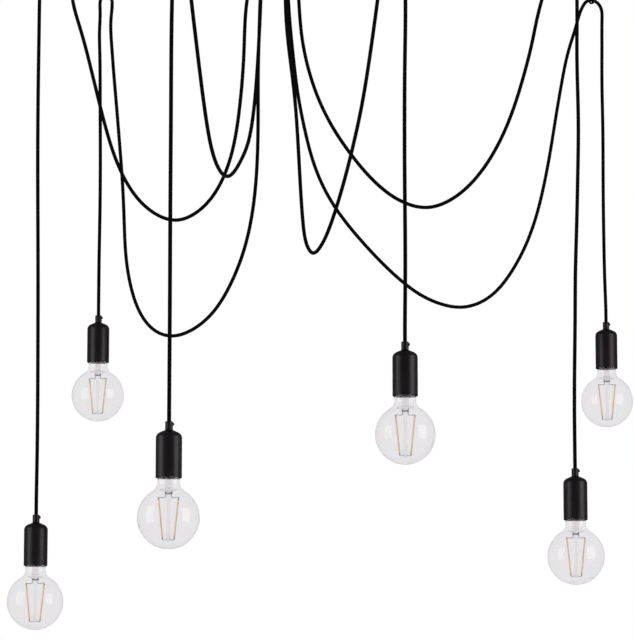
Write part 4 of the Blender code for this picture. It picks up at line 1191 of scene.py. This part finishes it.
face = ANCHOR_FACE_RADIUS
low, high = ANCHOR_HEIGHTS
edge = rounded([(face, low), (ANCHOR_RADIUS, low), (ANCHOR_RADIUS, high), (face, high)],
               ANCHOR_ROUNDING, steps=3)
plate_grids = [face_rim(edge)]
for height in ANCHOR_HEIGHTS:
    plate_grids += pierced_face(face, height, ANCHOR_HOLE + HOLE_FLARE)
plate_grids += hole_walls(face, ANCHOR_HOLE, ANCHOR_HEIGHTS)
plate_grids += [collar_surface((*place_pendant(pendant)["outlet"], 0.0)) for pendant in PENDANTS]
plate = make_piece("anchor_plate", ("cord_anchor_plate",), plate_grids, moulded_plastic(),
                   "ceiling_set", crisp=FINE_EDGE_ANGLE)
print("anchor plate:", len(plate.data.vertices), "points")

# %% Cover screws
SCREW_SEAT = 0.0599
SCREW_RADIUS = 0.0018
SCREW_HEIGHT = -0.012
SCREW_TIP = -0.007
SCREW_HEAD = 0.0042
SCREW_ROUNDING = 0.0005
HEAD_HEIGHT = 0.0035
DIMPLE_RADII = (0.0022, 0.0018)
DIMPLE_DEPTH = 0.0006
KNURLS = 24
KNURL_POINTS = 6
KNURL_DEPTH = 0.00022
KNURL_MARGIN = 0.0004


def thumb_screw_surface():
    """A screw along +X. The side of its head is knurled: its radius has ripples, h (cos 24 a - 1) / 2."""
    wide, narrow = DIMPLE_RADII
    dimple = HEAD_HEIGHT - DIMPLE_DEPTH
    corners = [(0.0, SCREW_TIP), (SCREW_RADIUS, SCREW_TIP), (SCREW_RADIUS, 0.0), (SCREW_HEAD, 0.0),
               (SCREW_HEAD, HEAD_HEIGHT), (wide, HEAD_HEIGHT), (narrow, dimple), (0.0, dimple)]
    outline = rounded(corners, SCREW_ROUNDING, steps=3)
    sides = KNURLS * KNURL_POINTS
    on_side = outline[:, :1] > SCREW_HEAD - KNURL_MARGIN
    ripple = np.where(on_side, KNURL_DEPTH * (np.cos(KNURLS * round_angles(sides)) - 1) / 2, 0.0)
    return lying(turned(outline, sides, ripple=ripple))


for number, side in ((1, -1.0), (2, 1.0)):
    surface = thumb_screw_surface() + (SCREW_SEAT, 0.0, 0.0)
    surface = surface * (side, side, 1.0) + (0.0, 0.0, SCREW_HEIGHT)
    make_piece(f"thumb_screw_{number}", (f"cover_screw_{number}",), [surface], paint,
               "ceiling_set", crisp=FINE_EDGE_ANGLE)
print("cover screws: 2")

# %% [markdown]
# ## What the canopy hides
#
# The steel bracket and the terminal block keep the model's own shapes, which are right for them. They
# only need finishes: rolled and brushed steel, whose noise is stretched along the strip, and cloudy white
# nylon.

# %% Bracket and terminal block
def brushed_steel():
    """Zinc-plated steel strip, brushed along X."""
    material = new_finish("brushed_steel", (0.55, 0.55, 0.54), 0.38, metallic=1.0)
    brushing = noise(material, 300, detail=5.0, stretch=(0.03, 1.0, 1.0))
    vary(material, "Roughness", brushing, 0.28, 0.5)
    vary(material, "Base Color", noise(material, 40), (0.47, 0.47, 0.46), (0.62, 0.62, 0.61))
    bump(material, brushing, 0.00004)
    return material


def terminal_nylon():
    """White nylon with cloudy variation and a soft scatter of light below its surface."""
    material = new_finish("terminal_nylon", (0.78, 0.77, 0.72), 0.45, Subsurface_Weight=0.15,
                          Subsurface_Scale=0.002)
    vary(material, "Base Color", noise(material, 250), (0.72, 0.71, 0.66), (0.82, 0.81, 0.77))
    vary(material, "Roughness", noise(material, 900), 0.38, 0.52)
    return material


for node, finish in (("ceiling_bracket", brushed_steel()), ("terminal_block", terminal_nylon())):
    kept = bpy.data.objects[node]
    kept.material_slots[0].material = finish
    print(node, "keeps the model's shape, in", finish.name)

# %% [markdown]
# ## Floor, white background and light
#
# The photo has nothing but white behind the lamps. The world is white where the camera sees it, and where
# it is seen through glass. It is softer as light, so nothing washes out. In the blurred reflections of the
# satin paint it is darkest, and in the sharp ones of the clear glass it is paler, which keeps the globes'
# outlines as light as the photo's. Two tall soft lamps stand at the sides, in front: a dark satin cylinder
# shows each of them as one soft upright band. Their light has the faint pink cast of the photo's bands.

# %% World
SEEN_WHITE = 1.0
LIGHT_LEVEL = 0.7
REFLECTED_LEVEL = 0.15
GLASS_LEVEL = 0.6

world = bpy.data.worlds.new("studio")
bpy.context.scene.world = world
world.use_nodes = True
background = world.node_tree.nodes["Background"]
background.inputs["Color"].default_value = (1.0, 1.0, 1.0, 1.0)
rays = add_node(world, "ShaderNodeLightPath").outputs
mirrored = add_node(world, "ShaderNodeMapRange", [("Value", rays["Is Singular Ray"])],
                    To_Min=REFLECTED_LEVEL, To_Max=GLASS_LEVEL)
glossy = add_node(world, "ShaderNodeMapRange",
                  [("Value", rays["Is Glossy Ray"]), ("To Max", mirrored.outputs["Result"])],
                  To_Min=LIGHT_LEVEL)
seen = combine(world, "MAXIMUM", rays["Is Camera Ray"], rays["Is Transmission Ray"])
level = add_node(world, "ShaderNodeMapRange", [("Value", seen), ("To Min", glossy.outputs["Result"])],
                 To_Max=SEEN_WHITE)
world.node_tree.links.new(level.outputs["Result"], background.inputs["Strength"])
bpy.context.scene.view_settings.view_transform = "Standard"
print("world: seen", SEEN_WHITE, "light", LIGHT_LEVEL, "reflected", REFLECTED_LEVEL, "in glass", GLASS_LEVEL)

# %% Floor
FLOOR_HEIGHT = -11.0
FLOOR_HALF = 30.0
FLOOR_WHITENESS = 0.85


def pale_floor():
    """Pale matte floor, nearly white to the camera with soft shadows left on it, and white through glass."""
    material = new_finish("pale_floor", (0.82, 0.82, 0.82), 0.9)
    vary(material, "Base Color", noise(material, 1.5), (0.80, 0.80, 0.80), (0.84, 0.84, 0.84))
    tree = material.node_tree
    glow = add_node(material, "ShaderNodeEmission")
    rays = add_node(material, "ShaderNodeLightPath").outputs
    to_camera = combine(material, "MULTIPLY", rays["Is Camera Ray"], FLOOR_WHITENESS)
    share = combine(material, "MAXIMUM", to_camera, rays["Is Transmission Ray"])
    mix = add_node(material, "ShaderNodeMixShader", [("Fac", share)])
    tree.links.new(tree.nodes["Principled BSDF"].outputs[0], mix.inputs[1])
    tree.links.new(glow.outputs[0], mix.inputs[2])
    tree.links.new(mix.outputs[0], tree.nodes["Material Output"].inputs["Surface"])
    return material


floor_mesh = bpy.data.meshes.new("floor")
across = FLOOR_HALF * np.array(((-1, -1), (1, -1), (1, 1), (-1, 1)), dtype=float)
floor_mesh.from_pydata(np.insert(across, 2, FLOOR_HEIGHT, axis=1).tolist(), [], [(0, 1, 2, 3)])
floor_mesh.materials.append(pale_floor())
floor = bpy.data.objects.new("floor", floor_mesh)
bpy.context.scene.collection.objects.link(floor)
print("floor", round(-FLOOR_HEIGHT, 2), "m below the ceiling")

# %% Side lamps
LAMP_TARGET = (0.1, 0.0, -0.85)
SIDE_LAMPS = (
    {"name": "left", "place": (-3.0, -1.45, -0.6), "size": (2.0, 2.6), "power": 34,
     "colour": (1.0, 0.94, 1.0)},
    {"name": "right", "place": (3.2, -1.6, -0.6), "size": (2.2, 2.6), "power": 47,
     "colour": (1.0, 0.93, 0.97)},
)
for lamp in SIDE_LAMPS:
    light = bpy.data.objects.new(f"soft_{lamp['name']}", bpy.data.lights.new(lamp["name"], "AREA"))
    light.data.shape = "RECTANGLE"
    light.data.size, light.data.size_y = lamp["size"]
    light.data.energy = lamp["power"]
    light.data.color = lamp["colour"]
    light.location = lamp["place"]
    way = np.subtract(LAMP_TARGET, lamp["place"])
    flat = math.hypot(way[0], way[1])
    light.rotation_euler = (math.atan2(flat, -way[2]), 0.0, math.atan2(way[1], way[0]) - math.pi / 2)
    light.visible_camera = False
    light.visible_transmission = False
    bpy.context.scene.collection.objects.link(light)
print("side lamps:", len(SIDE_LAMPS))
